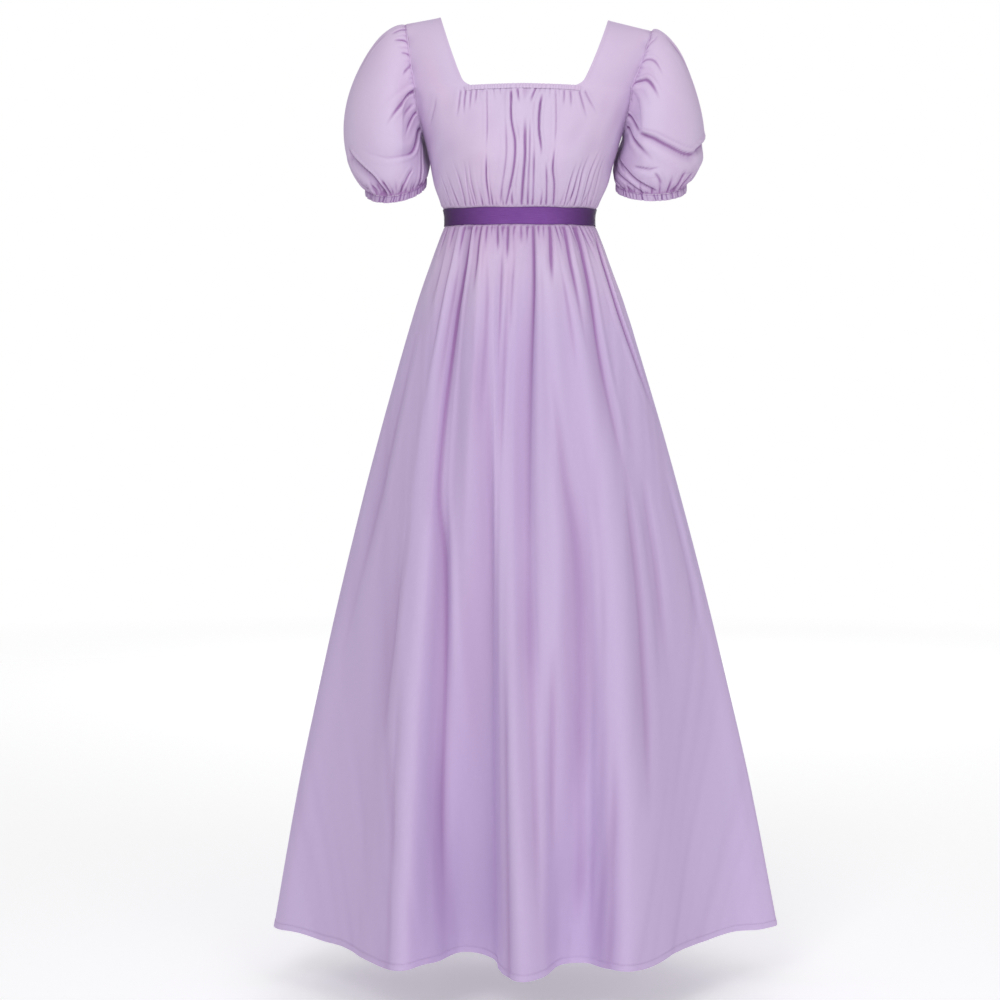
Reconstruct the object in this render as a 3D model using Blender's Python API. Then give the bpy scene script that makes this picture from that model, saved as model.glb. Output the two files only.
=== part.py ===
"""Regency gown: a short-sleeved, high-waisted dress, filled out and hollow.

X runs to the right, -Y is the front and Z is up. The shoulder line is the origin, so a drop
is a distance below the shoulders. Sizes are in millimetres until the meshes are made. Every
panel is a smooth surface, a function of two shares: across from 0 to 1, and up from 0 to 1.
"""
import math
from collections import namedtuple

import bpy
import numpy as np

MM = 0.001

# Cloth
BODICE_THICKNESS = 1.6
SLEEVE_THICKNESS = 1.6
SKIRT_THICKNESS = 1.8
CASING_THICKNESS = 1.3
RIBBON_THICKNESS = 1.0
SEAM_GAP = 0.3
LAID_GAP = 0.4
STEP_ACROSS = 1e-4
STEP_UP = 1e-4
SHARP_EDGE = 60.0

# Heights, as drops below the shoulder
RIBBON_TOP = 283.0
RIBBON_BOTTOM = 308.0
WAIST_SEAM = 296.0
MID_SKIRT = 820.0
HEM = 1363.0
STRAP_BASE = 108.0
BACK_STRAP_BASE = 100.0

# Body of the bodice: half widths and depths of its sections
Section = namedtuple("Section", "drop left right front back")
BODY_SECTIONS = (
    Section(80, 178, 180, 93, 88),
    Section(108, 171, 173, 103, 94),
    Section(140, 158, 160, 117, 98),
    Section(172, 147, 149, 126, 99),
    Section(210, 138, 137, 129, 97),
    Section(245, 131, 127, 120, 92),
    Section(283, 117, 110, 104, 87),
    Section(308, 115, 108, 100, 86),
    Section(330, 118, 112, 102, 88),
)
SECTION_POWER = 0.92
Fullness = namedtuple("Fullness", "x drop spread_x spread_drop depth")
CUPS = (
    Fullness(-62, 214, 46, 44, 11),
    Fullness(62, 214, 46, 44, 11),
)

# Top edges, as turns from the side seam towards the middle of the panel. A strap stands on
# the level stretch between two rows of each table.
Edge = namedtuple("Edge", "turn drop")
STRAP_OUTER_ROW = 4
STRAP_INNER_ROW = 5
FRONT_EDGE = (
    Edge(0, 174), Edge(6, 169), Edge(12, 153), Edge(18, 130), Edge(25, STRAP_BASE),
    Edge(62.5, STRAP_BASE), Edge(67, 107), Edge(90, 105),
)
BACK_EDGE = (
    Edge(0, 174), Edge(6, 169), Edge(12, 152), Edge(18, 127), Edge(25, BACK_STRAP_BASE),
    Edge(60, BACK_STRAP_BASE), Edge(66, 101), Edge(90, 102),
)

# Straps: from the body's top row to the shoulder ridge
Strap = namedtuple("Strap", "side inner_x inner_drop outer_x outer_drop")
STRAPS = (
    Strap(-1, 121, 0, 171, 9),
    Strap(1, 127, 4, 190, 19),
)
RIDGE_Y = 2.0
STRAP_CURVE = 0.75
STRAP_ROWS = 4

# Columns and rows of the bodice
FRONT_STEPS = 72
BACK_STEPS = 36
FRONT_STRAP = (10, 25)
BACK_STRAP = (5, 12)
RIBBON_SHARE = 0.10
CASING_SHARE = 0.96
BODY_SHARES = (0, RIBBON_SHARE, 0.14, 0.20, 0.31, 0.48, 0.66, 0.83, CASING_SHARE, 1)

# Gathers: creases pulled in from a puffed surface
STEPS_A_GATHER = 3
Gather = namedtuple("Gather", "depth length")
BODICE_GATHERS = (
    Gather(3.0, 44), Gather(2.3, 30), Gather(3.2, 62), Gather(2.6, 36), Gather(2.9, 90),
    Gather(2.2, 28), Gather(3.1, 52),
)
NECK_GATHERS = (
    Gather(2.2, 34), Gather(1.6, 20), Gather(2.4, 62), Gather(1.8, 26), Gather(2.3, 48),
)
SKIRT_GATHERS = (
    Gather(3.4, 60), Gather(2.4, 34), Gather(3.8, 150), Gather(3.0, 46), Gather(3.4, 84),
    Gather(2.6, 40), Gather(3.8, 118),
)
CUFF_GATHERS = (
    Gather(2.6, 30), Gather(2.0, 18), Gather(2.9, 40), Gather(2.3, 22),
)
HEAD_GATHERS = (
    Gather(2.4, 26), Gather(1.8, 16), Gather(2.6, 34),
)
GATHER_RISE = 9.0
BODICE_PUFF = 2.5
SKIRT_PUFF = 2.2
PUFF_LENGTH = 60.0

# Skirt: half width down its length, and where each fold runs at mid skirt and at the hem
Flare = namedtuple("Flare", "drop reach")
SKIRT_FLARE = (
    Flare(308, 111), Flare(352, 129), Flare(424, 155), Flare(566, 198), Flare(710, 238),
    Flare(855, 275), Flare(1000, 309), Flare(1146, 341), Flare(1363, 381),
)
Fold = namedtuple("Fold", "mid_x mid_y hem_x hem_y")
FRONT_FOLDS = (
    Fold(-265, 2, -376, 6),
    Fold(-259, -28, -362, -30),
    Fold(-234, -68, -310, -76),
    Fold(-194, -126, -252, -158),
    Fold(-166, -168, -204, -256),
    Fold(-142, -184, -168, -284),
    Fold(-114, -172, -134, -240),
    Fold(-84, -186, -90, -176),
    Fold(-48, -182, -44, -206),
    Fold(-32, -200, -28, -308),
    Fold(-16, -206, -2, -350),
    Fold(8, -196, 28, -318),
    Fold(48, -206, 54, -248),
    Fold(86, -188, 92, -228),
    Fold(118, -196, 118, -276),
    Fold(146, -184, 152, -291),
    Fold(178, -144, 200, -226),
    Fold(220, -92, 256, -114),
    Fold(249, -44, 318, -42),
    Fold(262, -18, 366, -14),
    Fold(267, 2, 388, 8),
)
BACK_FOLDS = (
    Fold(262, 30, 376, 46),
    Fold(246, 62, 332, 92),
    Fold(222, 96, 276, 124),
    Fold(196, 138, 240, 206),
    Fold(176, 156, 208, 238),
    Fold(148, 150, 168, 194),
    Fold(118, 178, 132, 262),
    Fold(94, 188, 102, 292),
    Fold(56, 172, 60, 214),
    Fold(24, 192, 24, 284),
    Fold(2, 197, -6, 304),
    Fold(-34, 174, -50, 216),
    Fold(-66, 188, -84, 280),
    Fold(-90, 188, -112, 292),
    Fold(-130, 156, -156, 200),
    Fold(-164, 156, -196, 244),
    Fold(-188, 142, -230, 226),
    Fold(-222, 98, -284, 128),
    Fold(-246, 62, -332, 88),
    Fold(-262, 32, -366, 46),
)
SIDE_SEAM_TURN = 350.0
SKIRT_FRONT_STEPS = 54
SKIRT_BACK_STEPS = 42
SKIRT_DROPS = (1363, 1230, 1080, 920, 760, 620, 500, 412, 358, 330, 317, 308)
CURVE_SAMPLES = 24

# Sleeves and cuffs
Cuff = namedtuple("Cuff", "side middle_x middle_y reach depth drop outer_fall front_fall")
CUFFS = (
    Cuff(-1, 188, 2, 46, 56, 252, 6, 23),
    Cuff(1, 192, 2, 53, 56, 254, 0, 19),
)
CUFF_HEIGHT = 10.0
Guide = namedtuple("Guide", "head_out head_spread cuff_out cuff_up")
SLEEVE_GUIDES = {
    -1: (
        Guide(63, 2, 75, 62),
        Guide(57, 18, 66, 63),
        Guide(38, 34, 46, 57),
        Guide(19, 22, 13, 40),
        Guide(6, 12, 8, 14),
        Guide(8, 24, 40, 18),
        Guide(36, 30, 44, 55),
        Guide(57, 16, 64, 61),
    ),
    1: (
        Guide(30, 30, 71, 60),
        Guide(34, 32, 62, 62),
        Guide(28, 34, 43, 58),
        Guide(15, 22, 13, 40),
        Guide(6, 12, 8, 14),
        Guide(8, 24, 40, 18),
        Guide(27, 30, 42, 56),
        Guide(34, 29, 60, 61),
    ),
}
SLEEVE_STEPS = 54
SLEEVE_SHARES = (0, 0.06, 0.15, 0.29, 0.45, 0.62, 0.79, 0.93, 1)
ARMHOLE_SAMPLES = 40
WHOLE_BUT_A_HAIR = 0.99999
HEAD_GATHER_TURN = 110.0
Crease = namedtuple("Crease", "angle share end_angle end_share depth width")
SLEEVE_CREASES = {
    -1: (
        Crease(150, 0.30, 86, 0.50, 6, 13),
        Crease(165, 0.55, 80, 0.70, 7, 15),
        Crease(80, 0.70, 15, 0.55, 7, 15),
        Crease(12, 0.68, 62, 0.88, 6, 12),
        Crease(240, 0.40, 300, 0.62, 7, 15),
        Crease(205, 0.62, 280, 0.84, 6, 13),
    ),
    1: (
        Crease(150, 0.25, 96, 0.38, 6, 13),
        Crease(160, 0.50, 106, 0.68, 7, 13),
        Crease(122, 0.52, 8, 0.68, 9, 15),
        Crease(165, 0.66, 110, 0.90, 6, 13),
        Crease(235, 0.45, 305, 0.60, 7, 15),
        Crease(210, 0.66, 285, 0.86, 6, 13),
    ),
}
CREASE_TURN_LENGTH = 1.2
CREASE_FALL_LENGTH = 240.0
CREASE_FADE = 0.125
TURN_STEP = 0.5
FALL_STEP = 0.01

# Ribbon and neck casing
RIBBON_STEPS = 60
CASING_NOTCH = 0.7

Finish = namedtuple("Finish", "colour roughness metallic")
BODICE_FINISH = Finish((0.62, 0.50, 0.68, 1), 0.72, 0.0)
SKIRT_FINISH = Finish((0.57, 0.44, 0.64, 1), 0.72, 0.0)
CASING_FINISH = Finish((0.59, 0.46, 0.65, 1), 0.75, 0.0)
RIBBON_FINISH = Finish((0.10, 0.045, 0.16, 1), 0.32, 0.0)


def smooth_step(value):
    """Ease from 0 to 1 as value goes from 0 to 1."""
    clipped = min(max(value, 0.0), 1.0)
    return clipped * clipped * (3 - 2 * clipped)


def smooth_column(table, key, column, at):
    """Read a smooth curve through one column of a table, where its key column equals at."""
    keys = [getattr(row, key) for row in table]
    values = [getattr(row, column) for row in table]
    at = min(max(at, keys[0]), keys[-1])
    last = len(keys) - 1
    span = min(int(np.searchsorted(keys, at, side="right")) - 1, last - 1)

    def slope(index):
        before = max(index - 1, 0)
        after = min(index + 1, last)
        return (values[after] - values[before]) / (keys[after] - keys[before])

    width = keys[span + 1] - keys[span]
    share = (at - keys[span]) / width
    square = share * share
    cube = square * share
    return (
        (2 * cube - 3 * square + 1) * values[span]
        + (cube - 2 * square + share) * width * slope(span)
        + (3 * square - 2 * cube) * values[span + 1]
        + (cube - square) * width * slope(span + 1)
    )


def closed_curve(points, place):
    """Read a closed smooth curve through points, where place counts points along it."""
    count = len(points)
    start = int(math.floor(place))
    share = place - start
    before, here, after, beyond = (
        np.array(points[(start + shift) % count], dtype=float) for shift in (-1, 0, 1, 2)
    )
    return 0.5 * (
        2 * here
        + (after - before) * share
        + (2 * before - 5 * here + 4 * after - beyond) * share ** 2
        + (3 * here - before - 3 * after + beyond) * share ** 3
    )


def notch(place):
    """Depth of a crease, 1 on each whole number and 0 a third of the way to the next."""
    distance = abs(place - round(place))
    return 0.5 + 0.5 * math.cos(math.pi * min(1.0, STEPS_A_GATHER * distance))


def gather_relief(gathers, place, distance, puff):
    """How far gathered cloth stands out at a distance along it from its seam."""
    row = gathers[round(place) % len(gathers)]
    rise = smooth_step(distance / GATHER_RISE)
    crease = row.depth * notch(place) * (1 - smooth_step(distance / row.length))
    swell = puff * (1 - smooth_step(distance / PUFF_LENGTH))
    return rise * (swell - crease)


def section_at(drop):
    """Half widths and depths of the bodice's body at a drop."""
    return Section(drop, *(smooth_column(BODY_SECTIONS, "drop", name, drop)
                           for name in Section._fields[1:]))


def signed_power(value, power):
    """Raise the size of a value to a power and keep its sign."""
    return math.copysign(abs(value) ** power, value)


def body_point(turn, drop, relief=0.0):
    """Point of the body at a turn in degrees and a drop, moved out by relief."""
    section = section_at(drop)
    cosine = math.cos(math.radians(turn))
    sine = math.sin(math.radians(turn))
    reach = section.right if cosine > 0 else section.left
    depth = section.back if sine > 0 else section.front
    x = reach * signed_power(cosine, SECTION_POWER)
    y = depth * signed_power(sine, SECTION_POWER)
    if sine < 0:
        for cup in CUPS:
            away = ((x - cup.x) / cup.spread_x) ** 2 + ((drop - cup.drop) / cup.spread_drop) ** 2
            y -= cup.depth * math.exp(-away)
    outward = np.array((x / reach ** 2, y / depth ** 2, 0.0))
    outward /= np.linalg.norm(outward)
    return np.array((x, y, -drop)) + relief * outward


def top_drop(turn):
    """Drop of the bodice's top edge, or of the foot of a strap, at a turn."""
    table = FRONT_EDGE if turn > 180 else BACK_EDGE
    from_side = turn % 180
    from_side = min(from_side, 180 - from_side)
    if table[STRAP_OUTER_ROW].turn <= from_side <= table[STRAP_INNER_ROW].turn:
        return table[STRAP_OUTER_ROW].drop
    return smooth_column(table, "turn", "drop", from_side)


def bodice_relief(turn, drop, top):
    """Gathers above the waist and below the neck edge."""
    place = (turn - 180) / 180 * FRONT_STEPS / STEPS_A_GATHER
    if turn <= 180:
        place = turn / 180 * BACK_STEPS / STEPS_A_GATHER
    relief = gather_relief(BODICE_GATHERS, place, RIBBON_TOP - drop, BODICE_PUFF)
    from_side = min(turn % 180, 180 - turn % 180)
    if turn > 180 and from_side > FRONT_EDGE[STRAP_INNER_ROW].turn:
        relief += gather_relief(NECK_GATHERS, place, drop - top, 0.0)
    return relief


def bodice_surface(turn_start, turn_end):
    """Body of one bodice panel, from its waist edge up to its top edge."""
    bottom = WAIST_SEAM - SEAM_GAP / 2

    def point(across, up):
        turn = turn_start + (turn_end - turn_start) * across
        top = top_drop(turn)
        if up <= RIBBON_SHARE:
            drop = bottom + (RIBBON_TOP - bottom) * up / RIBBON_SHARE
        else:
            drop = RIBBON_TOP + (top - RIBBON_TOP) * (up - RIBBON_SHARE) / (1 - RIBBON_SHARE)
        return body_point(turn, drop, bodice_relief(turn, drop, top))

    return point


def strap_surface(strap, outer_turn, inner_turn, base_drop, seam_shift):
    """Strap of one panel: across from its outer to its inner edge, up to the ridge."""

    def point(across, up):
        foot = body_point(outer_turn + (inner_turn - outer_turn) * across, base_drop)
        ridge_x = strap.side * (strap.outer_x + (strap.inner_x - strap.outer_x) * across)
        ridge_drop = strap.outer_drop + (strap.inner_drop - strap.outer_drop) * across
        lift = math.sin(math.pi / 2 * up)
        bend = 1 - math.cos(math.pi / 2 * up)
        return np.array((
            foot[0] + (ridge_x - foot[0]) * lift ** STRAP_CURVE,
            foot[1] + (RIDGE_Y + seam_shift - foot[1]) * bend,
            foot[2] + (-ridge_drop - foot[2]) * lift,
        ))

    return point


def surface_normal(surface, across, up):
    """Outward unit normal of a surface, whose across runs right and up runs up from outside."""
    low_across = max(across - STEP_ACROSS, 0.0)
    high_across = min(across + STEP_ACROSS, 1.0)
    low_up = max(up - STEP_UP, 0.0)
    high_up = min(up + STEP_UP, 1.0)
    sideways = surface(high_across, up) - surface(low_across, up)
    upwards = surface(across, high_up) - surface(across, low_up)
    normal = np.cross(sideways, upwards)
    return normal / np.linalg.norm(normal)


class Wall:
    """A cloth wall in the making: outer points, their inner partners and outer quads.

    Each quad is split the same way on both faces, so layers of cloth lie parallel.
    """

    def __init__(self):
        self.outer = []
        self.inner = []
        self.quads = []

    def add_grid(self, surface, across_shares, up_shares, thickness, closed=False, lift=0.0,
                 first_row=None, relief=None):
        """Add a surface as a grid and return its rows of point numbers."""
        rows = []
        for up in up_shares:
            if first_row is not None and not rows:
                rows.append(first_row)
                continue
            row = []
            for across in across_shares:
                normal = surface_normal(surface, across, up)
                point = surface(across, up)
                inner = point + normal * (lift or -thickness)
                proud = relief(across) if relief else 0.0
                row.append(len(self.outer))
                self.outer.append(inner + normal * (thickness + proud))
                self.inner.append(inner)
            rows.append(row)
        for lower, upper in zip(rows, rows[1:]):
            last = len(lower) if closed else len(lower) - 1
            for index in range(last):
                after = (index + 1) % len(lower)
                self.quads.append((lower[index], lower[after], upper[after], upper[index]))
        return rows

    def build(self, name, finish):
        """Close the wall with its inner face and its rims, and make its object."""
        count = len(self.outer)
        faces = [half for a, b, c, d in self.quads for half in ((a, b, c), (a, c, d))]
        faces += [tuple(index + count for index in reversed(face)) for face in faces]
        edges = {(quad[k], quad[(k + 1) % 4]) for quad in self.quads for k in range(4)}
        faces += [(end, start, start + count, end + count)
                  for start, end in sorted(edges) if (end, start) not in edges]
        mesh = bpy.data.meshes.new(name)
        points = [tuple(point * MM) for point in self.outer + self.inner]
        mesh.from_pydata(points, [], faces)
        mesh.validate()
        mesh.shade_smooth()
        mesh.set_sharp_from_angle(angle=math.radians(SHARP_EDGE))
        mesh.materials.append(make_material(name, finish))
        bpy.context.scene.collection.objects.link(bpy.data.objects.new(name, mesh))


def make_material(name, finish):
    """A Principled material for one piece."""
    material = bpy.data.materials.new(name)
    material.use_nodes = True
    shader = material.node_tree.nodes["Principled BSDF"]
    shader.inputs["Base Color"].default_value = finish.colour
    shader.inputs["Roughness"].default_value = finish.roughness
    shader.inputs["Metallic"].default_value = finish.metallic
    return material


def even_shares(steps):
    """Shares from 0 to 1 in even steps."""
    return [index / steps for index in range(steps + 1)]


def seam_shares(steps, length):
    """Even shares, with both ends drawn back by half a seam gap of a panel's length."""
    inset = SEAM_GAP / 2 / length
    shares = even_shares(steps)
    return [inset] + shares[1:-1] + [1 - inset]


def make_bodice_panel(name, turn_start, steps, strap_steps, base_drop, seam_shift):
    """One bodice panel with its two strap ends."""
    turn_end = turn_start + 180
    wall = Wall()
    surface = bodice_surface(turn_start, turn_end)
    girth = math.pi * section_at(CUPS[0].drop).left
    body = wall.add_grid(surface, seam_shares(steps, girth), BODY_SHARES, BODICE_THICKNESS)
    outer_step, inner_step = strap_steps
    runs = ((outer_step, inner_step), (steps - inner_step, steps - outer_step))
    for first, last in runs:
        turns = [turn_start + 180 * index / steps for index in (first, last)]
        side = 1 if math.cos(math.radians(turns[0])) > 0 else -1
        strap = next(row for row in STRAPS if row.side == side)
        starts_outside = first == outer_step
        outer_turn, inner_turn = turns if starts_outside else reversed(turns)
        shape = strap_surface(strap, outer_turn, inner_turn, base_drop, seam_shift)

        def facing(across, up, shape=shape, starts_outside=starts_outside):
            return shape(across if starts_outside else 1 - across, up)

        wall.add_grid(facing, even_shares(last - first), even_shares(STRAP_ROWS),
                      BODICE_THICKNESS, first_row=body[-1][first:last + 1])
    wall.build(name, BODICE_FINISH)


def make_neck_casing():
    """Narrow gathered band that lies on the front neck edge."""
    surface = bodice_surface(180, 360)
    first, last = FRONT_STRAP[1], FRONT_STEPS - FRONT_STRAP[1]

    def band(across, up):
        column = first + (last - first) * across
        return surface(column / FRONT_STEPS, CASING_SHARE + (1 - CASING_SHARE) * up)

    def ruffle(across):
        place = (first + (last - first) * across) / STEPS_A_GATHER
        return CASING_NOTCH * (1 - notch(place))

    wall = Wall()
    wall.add_grid(band, even_shares(last - first), (0, 1), CASING_THICKNESS, lift=LAID_GAP,
                  relief=ruffle)
    wall.build("neck_casing", CASING_FINISH)


def make_ribbon():
    """Plain band over the high waist seam."""

    def band(across, up):
        return body_point(180 + 360 * across, RIBBON_BOTTOM + (RIBBON_TOP - RIBBON_BOTTOM) * up)

    wall = Wall()
    shares = even_shares(RIBBON_STEPS)[:-1]
    wall.add_grid(band, shares, (0, 1), RIBBON_THICKNESS, closed=True, lift=LAID_GAP)
    wall.build("waist_ribbon", RIBBON_FINISH)


def hem_places():
    """Places along the hem's curve, with the length of cloth up to each."""
    points = [(row.hem_x, row.hem_y) for row in FRONT_FOLDS + BACK_FOLDS]
    places = np.linspace(0, len(points), len(points) * CURVE_SAMPLES + 1)
    curve = np.array([closed_curve(points, place) for place in places])
    steps = np.linalg.norm(np.diff(curve, axis=0), axis=1)
    return places, np.concatenate(((0.0,), np.cumsum(steps)))


def skirt_surface(first_place, last_place, first_turn, last_turn, steps):
    """Surface of one skirt panel between two side seams, from its hem up to its waist."""
    places, lengths = hem_places()
    start, end = np.interp((first_place, last_place), places, lengths)
    folds = FRONT_FOLDS + BACK_FOLDS
    mid_points = [(row.mid_x, row.mid_y) for row in folds]
    hem_points = [(row.hem_x, row.hem_y) for row in folds]
    waist_reach = SKIRT_FLARE[0].reach
    hem_reach = SKIRT_FLARE[-1].reach
    mid_share = ((smooth_column(SKIRT_FLARE, "drop", "reach", MID_SKIRT) - waist_reach)
                 / (hem_reach - waist_reach))
    top = WAIST_SEAM + SEAM_GAP / 2

    def point(across, up):
        drop = HEM + (top - HEM) * up
        turn = first_turn + (last_turn - first_turn) * across
        if drop <= RIBBON_BOTTOM:
            return body_point(turn, drop)
        reach = smooth_column(SKIRT_FLARE, "drop", "reach", drop)
        share = (reach - waist_reach) / (hem_reach - waist_reach)
        place = float(np.interp(start + (end - start) * across, lengths, places))
        waist = body_point(turn, RIBBON_BOTTOM)[:2]
        outward = waist / np.linalg.norm(waist)
        plan = (
            waist * (share - mid_share) * (share - 1) / mid_share
            + closed_curve(mid_points, place) * share * (share - 1) / (mid_share * (mid_share - 1))
            + closed_curve(hem_points, place) * share * (share - mid_share) / (1 - mid_share)
        )
        relief = gather_relief(SKIRT_GATHERS, across * steps / STEPS_A_GATHER,
                               drop - RIBBON_BOTTOM, SKIRT_PUFF)
        return np.array((*(plan + relief * outward), -drop))

    return point


def make_skirt_panel(name, first_place, last_place, first_turn, last_turn, steps):
    """One skirt panel as a wall."""
    surface = skirt_surface(first_place, last_place, first_turn, last_turn, steps)
    top = WAIST_SEAM + SEAM_GAP / 2
    shares = [(HEM - drop) / (HEM - top) for drop in SKIRT_DROPS] + [1.0]
    wall = Wall()
    rows = wall.add_grid(surface, even_shares(steps), shares, SKIRT_THICKNESS)
    for row in rows:
        part_seam(wall, row[0], row[1])
        part_seam(wall, row[-1], row[-2])
    wall.build(name, SKIRT_FINISH)


def part_seam(wall, edge, inside):
    """Draw an edge point and its inner partner back from the seam by half a gap."""
    away = wall.outer[inside] - wall.outer[edge]
    away *= SEAM_GAP / 2 / np.linalg.norm(away)
    wall.outer[edge] = wall.outer[edge] + away
    wall.inner[edge] = wall.inner[edge] + away


def armhole_half(strap, front):
    """Armhole edge from the shoulder ridge down to the side seam, in even steps of length."""
    base_drop = STRAP_BASE if front else BACK_STRAP_BASE
    steps, strap_steps = (FRONT_STEPS, FRONT_STRAP) if front else (BACK_STEPS, BACK_STRAP)
    from_side = [180 * step / steps for step in strap_steps]
    side_turn = 180 if strap.side < 0 else (360 if front else 0)
    inward = 1 if (strap.side < 0) == front else -1
    outer_turn, inner_turn = (side_turn + inward * turn for turn in from_side)
    shape = strap_surface(strap, outer_turn, inner_turn, base_drop, 0.0)
    points = [shape(0.0, 1 - share) for share in even_shares(ARMHOLE_SAMPLES)]
    for share in even_shares(ARMHOLE_SAMPLES)[1:]:
        turn = outer_turn + (side_turn - outer_turn) * share * WHOLE_BUT_A_HAIR
        points.append(body_point(turn, top_drop(turn)))
    points = np.array(points)
    lengths = np.concatenate(((0.0,), np.cumsum(np.linalg.norm(np.diff(points, axis=0), axis=1))))
    even = np.linspace(0, lengths[-1], ARMHOLE_SAMPLES + 1)
    return np.array([np.interp(even, lengths, points[:, axis]) for axis in range(3)]).T


def cuff_point(cuff, angle, rise):
    """Point of the cuff's ring at an angle from its outer side, towards the front."""
    cosine = math.cos(math.radians(angle))
    sine = math.sin(math.radians(angle))
    drop = cuff.drop + cuff.outer_fall * cosine + cuff.front_fall * sine - rise
    return np.array((
        cuff.side * (cuff.middle_x + cuff.reach * cosine),
        cuff.middle_y - cuff.depth * sine,
        -drop,
    ))


def crease_relief(creases, angle, fall):
    """Depth of the sleeve's own creases at an angle and a share of the way to the cuff."""
    here = np.array((angle * CREASE_TURN_LENGTH, fall * CREASE_FALL_LENGTH))
    relief = 0.0
    for crease in creases:
        start = np.array((crease.angle * CREASE_TURN_LENGTH, crease.share * CREASE_FALL_LENGTH))
        end = np.array((crease.end_angle * CREASE_TURN_LENGTH,
                        crease.end_share * CREASE_FALL_LENGTH))
        along = end - start
        share = min(max(np.dot(here - start, along) / np.dot(along, along), 0.0), 1.0)
        distance = np.linalg.norm(here - start - along * share)
        relief -= crease.depth * math.exp(-(distance / crease.width) ** 2)
    return relief


def sleeve_surface(strap, cuff):
    """Puffed sleeve: across right round it, up from the cuff to the armhole."""
    front = armhole_half(strap, True)
    back = armhole_half(strap, False)
    ring = np.concatenate((front, back[::-1][1:-1]))
    ring = ring + np.array((strap.side * SEAM_GAP, 0.0, 0.0))
    middle = ring.mean(axis=0)
    creases = SLEEVE_CREASES[strap.side]
    guides = SLEEVE_GUIDES[strap.side]

    def plain(angle, fall):
        head = closed_ring(ring, angle)
        foot = cuff_point(cuff, angle, CUFF_HEIGHT + SEAM_GAP)
        guide = Guide(*closed_curve(guides, angle % 360 / 360 * len(guides)))
        spread = head - middle
        spread[0] = 0.0
        spread /= np.linalg.norm(spread)
        cosine = math.cos(math.radians(angle))
        sine = math.sin(math.radians(angle))
        out = np.array((strap.side, 0.0, 0.0))
        head_guide = head + out * guide.head_out + spread * guide.head_spread
        foot_guide = foot + np.array((
            strap.side * cosine * guide.cuff_out, -sine * guide.cuff_out, guide.cuff_up))
        rest = 1 - fall
        return (head * rest ** 3 + 3 * head_guide * rest ** 2 * fall
                + 3 * foot_guide * rest * fall ** 2 + foot * fall ** 3)

    def point(across, up):
        angle = -strap.side * 360 * across
        fall = 1 - up
        base = plain(angle, fall)
        turn_step = plain(angle + TURN_STEP, fall) - plain(angle - TURN_STEP, fall)
        fall_step = (plain(angle, min(fall + FALL_STEP, 1.0))
                     - plain(angle, max(fall - FALL_STEP, 0.0)))
        normal = np.cross(fall_step, turn_step) * -strap.side
        normal /= np.linalg.norm(normal)
        place = across * SLEEVE_STEPS / STEPS_A_GATHER
        relief = gather_relief(CUFF_GATHERS, place, up * CREASE_FALL_LENGTH, 0.0)
        from_top = min(angle % 360, 360 - angle % 360)
        if from_top < HEAD_GATHER_TURN:
            relief += gather_relief(HEAD_GATHERS, place, fall * CREASE_FALL_LENGTH, 0.0)
        fade = smooth_step(fall / CREASE_FADE) * smooth_step(up / CREASE_FADE)
        relief += crease_relief(creases, angle % 360, fall) * fade
        return base + normal * relief

    return point


def closed_ring(ring, angle):
    """Point of a ring of even points at an angle."""
    place = angle % 360 / 360 * len(ring)
    start = int(place) % len(ring)
    share = place - int(place)
    return ring[start] * (1 - share) + ring[(start + 1) % len(ring)] * share


def make_sleeve(name, strap, cuff):
    """One sleeve as a wall that is open at both ends."""
    wall = Wall()
    shares = even_shares(SLEEVE_STEPS)[:-1]
    wall.add_grid(sleeve_surface(strap, cuff), shares, SLEEVE_SHARES, SLEEVE_THICKNESS,
                  closed=True)
    wall.build(name, BODICE_FINISH)


def make_cuff(name, cuff):
    """Narrow gathered band at the sleeve's end."""

    def band(across, up):
        return cuff_point(cuff, -cuff.side * 360 * across, CUFF_HEIGHT * up)

    def ruffle(across):
        return -CASING_NOTCH * notch(across * SLEEVE_STEPS / STEPS_A_GATHER)

    wall = Wall()
    shares = even_shares(SLEEVE_STEPS)[:-1]
    wall.add_grid(band, shares, (0, 1), CASING_THICKNESS, closed=True, relief=ruffle)
    wall.build(name, CASING_FINISH)


def main():
    """Clear the scene and make every piece of the gown."""
    for item in list(bpy.data.objects):
        bpy.data.objects.remove(item)
    half_gap = SEAM_GAP / 2
    make_bodice_panel("bodice_front", 180, FRONT_STEPS, FRONT_STRAP, STRAP_BASE, -half_gap)
    make_bodice_panel("bodice_back", 0, BACK_STEPS, BACK_STRAP, BACK_STRAP_BASE, half_gap)
    make_neck_casing()
    make_ribbon()
    last_front = len(FRONT_FOLDS) - 1
    last_back = len(FRONT_FOLDS) + len(BACK_FOLDS)
    make_skirt_panel("skirt_front", 0, last_front, 180, SIDE_SEAM_TURN, SKIRT_FRONT_STEPS)
    make_skirt_panel("skirt_back", last_front, last_back, SIDE_SEAM_TURN, 540, SKIRT_BACK_STEPS)
    for strap, cuff, side in zip(STRAPS, CUFFS, ("left", "right")):
        make_sleeve(f"sleeve_{side}", strap, cuff)
        make_cuff(f"cuff_{side}", cuff)


main()
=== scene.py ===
"""Regency gown: the dressed model of a short-sleeved, high-waisted dress.

The gown is filled out as if worn and hollow inside. X runs to the right, -Y is the front and
Z is up, with the shoulder line at the origin, so a drop is a distance below the shoulders.
Sizes are in millimetres until the meshes are made. Every panel of cloth is a fine grid over
its own flat chart, and its creases and gathers are soft troughs that are listed one by one.
"""
import logging
import math
from dataclasses import dataclass, field
from enum import Enum
from typing import Any, NamedTuple, Optional, Sequence

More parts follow.
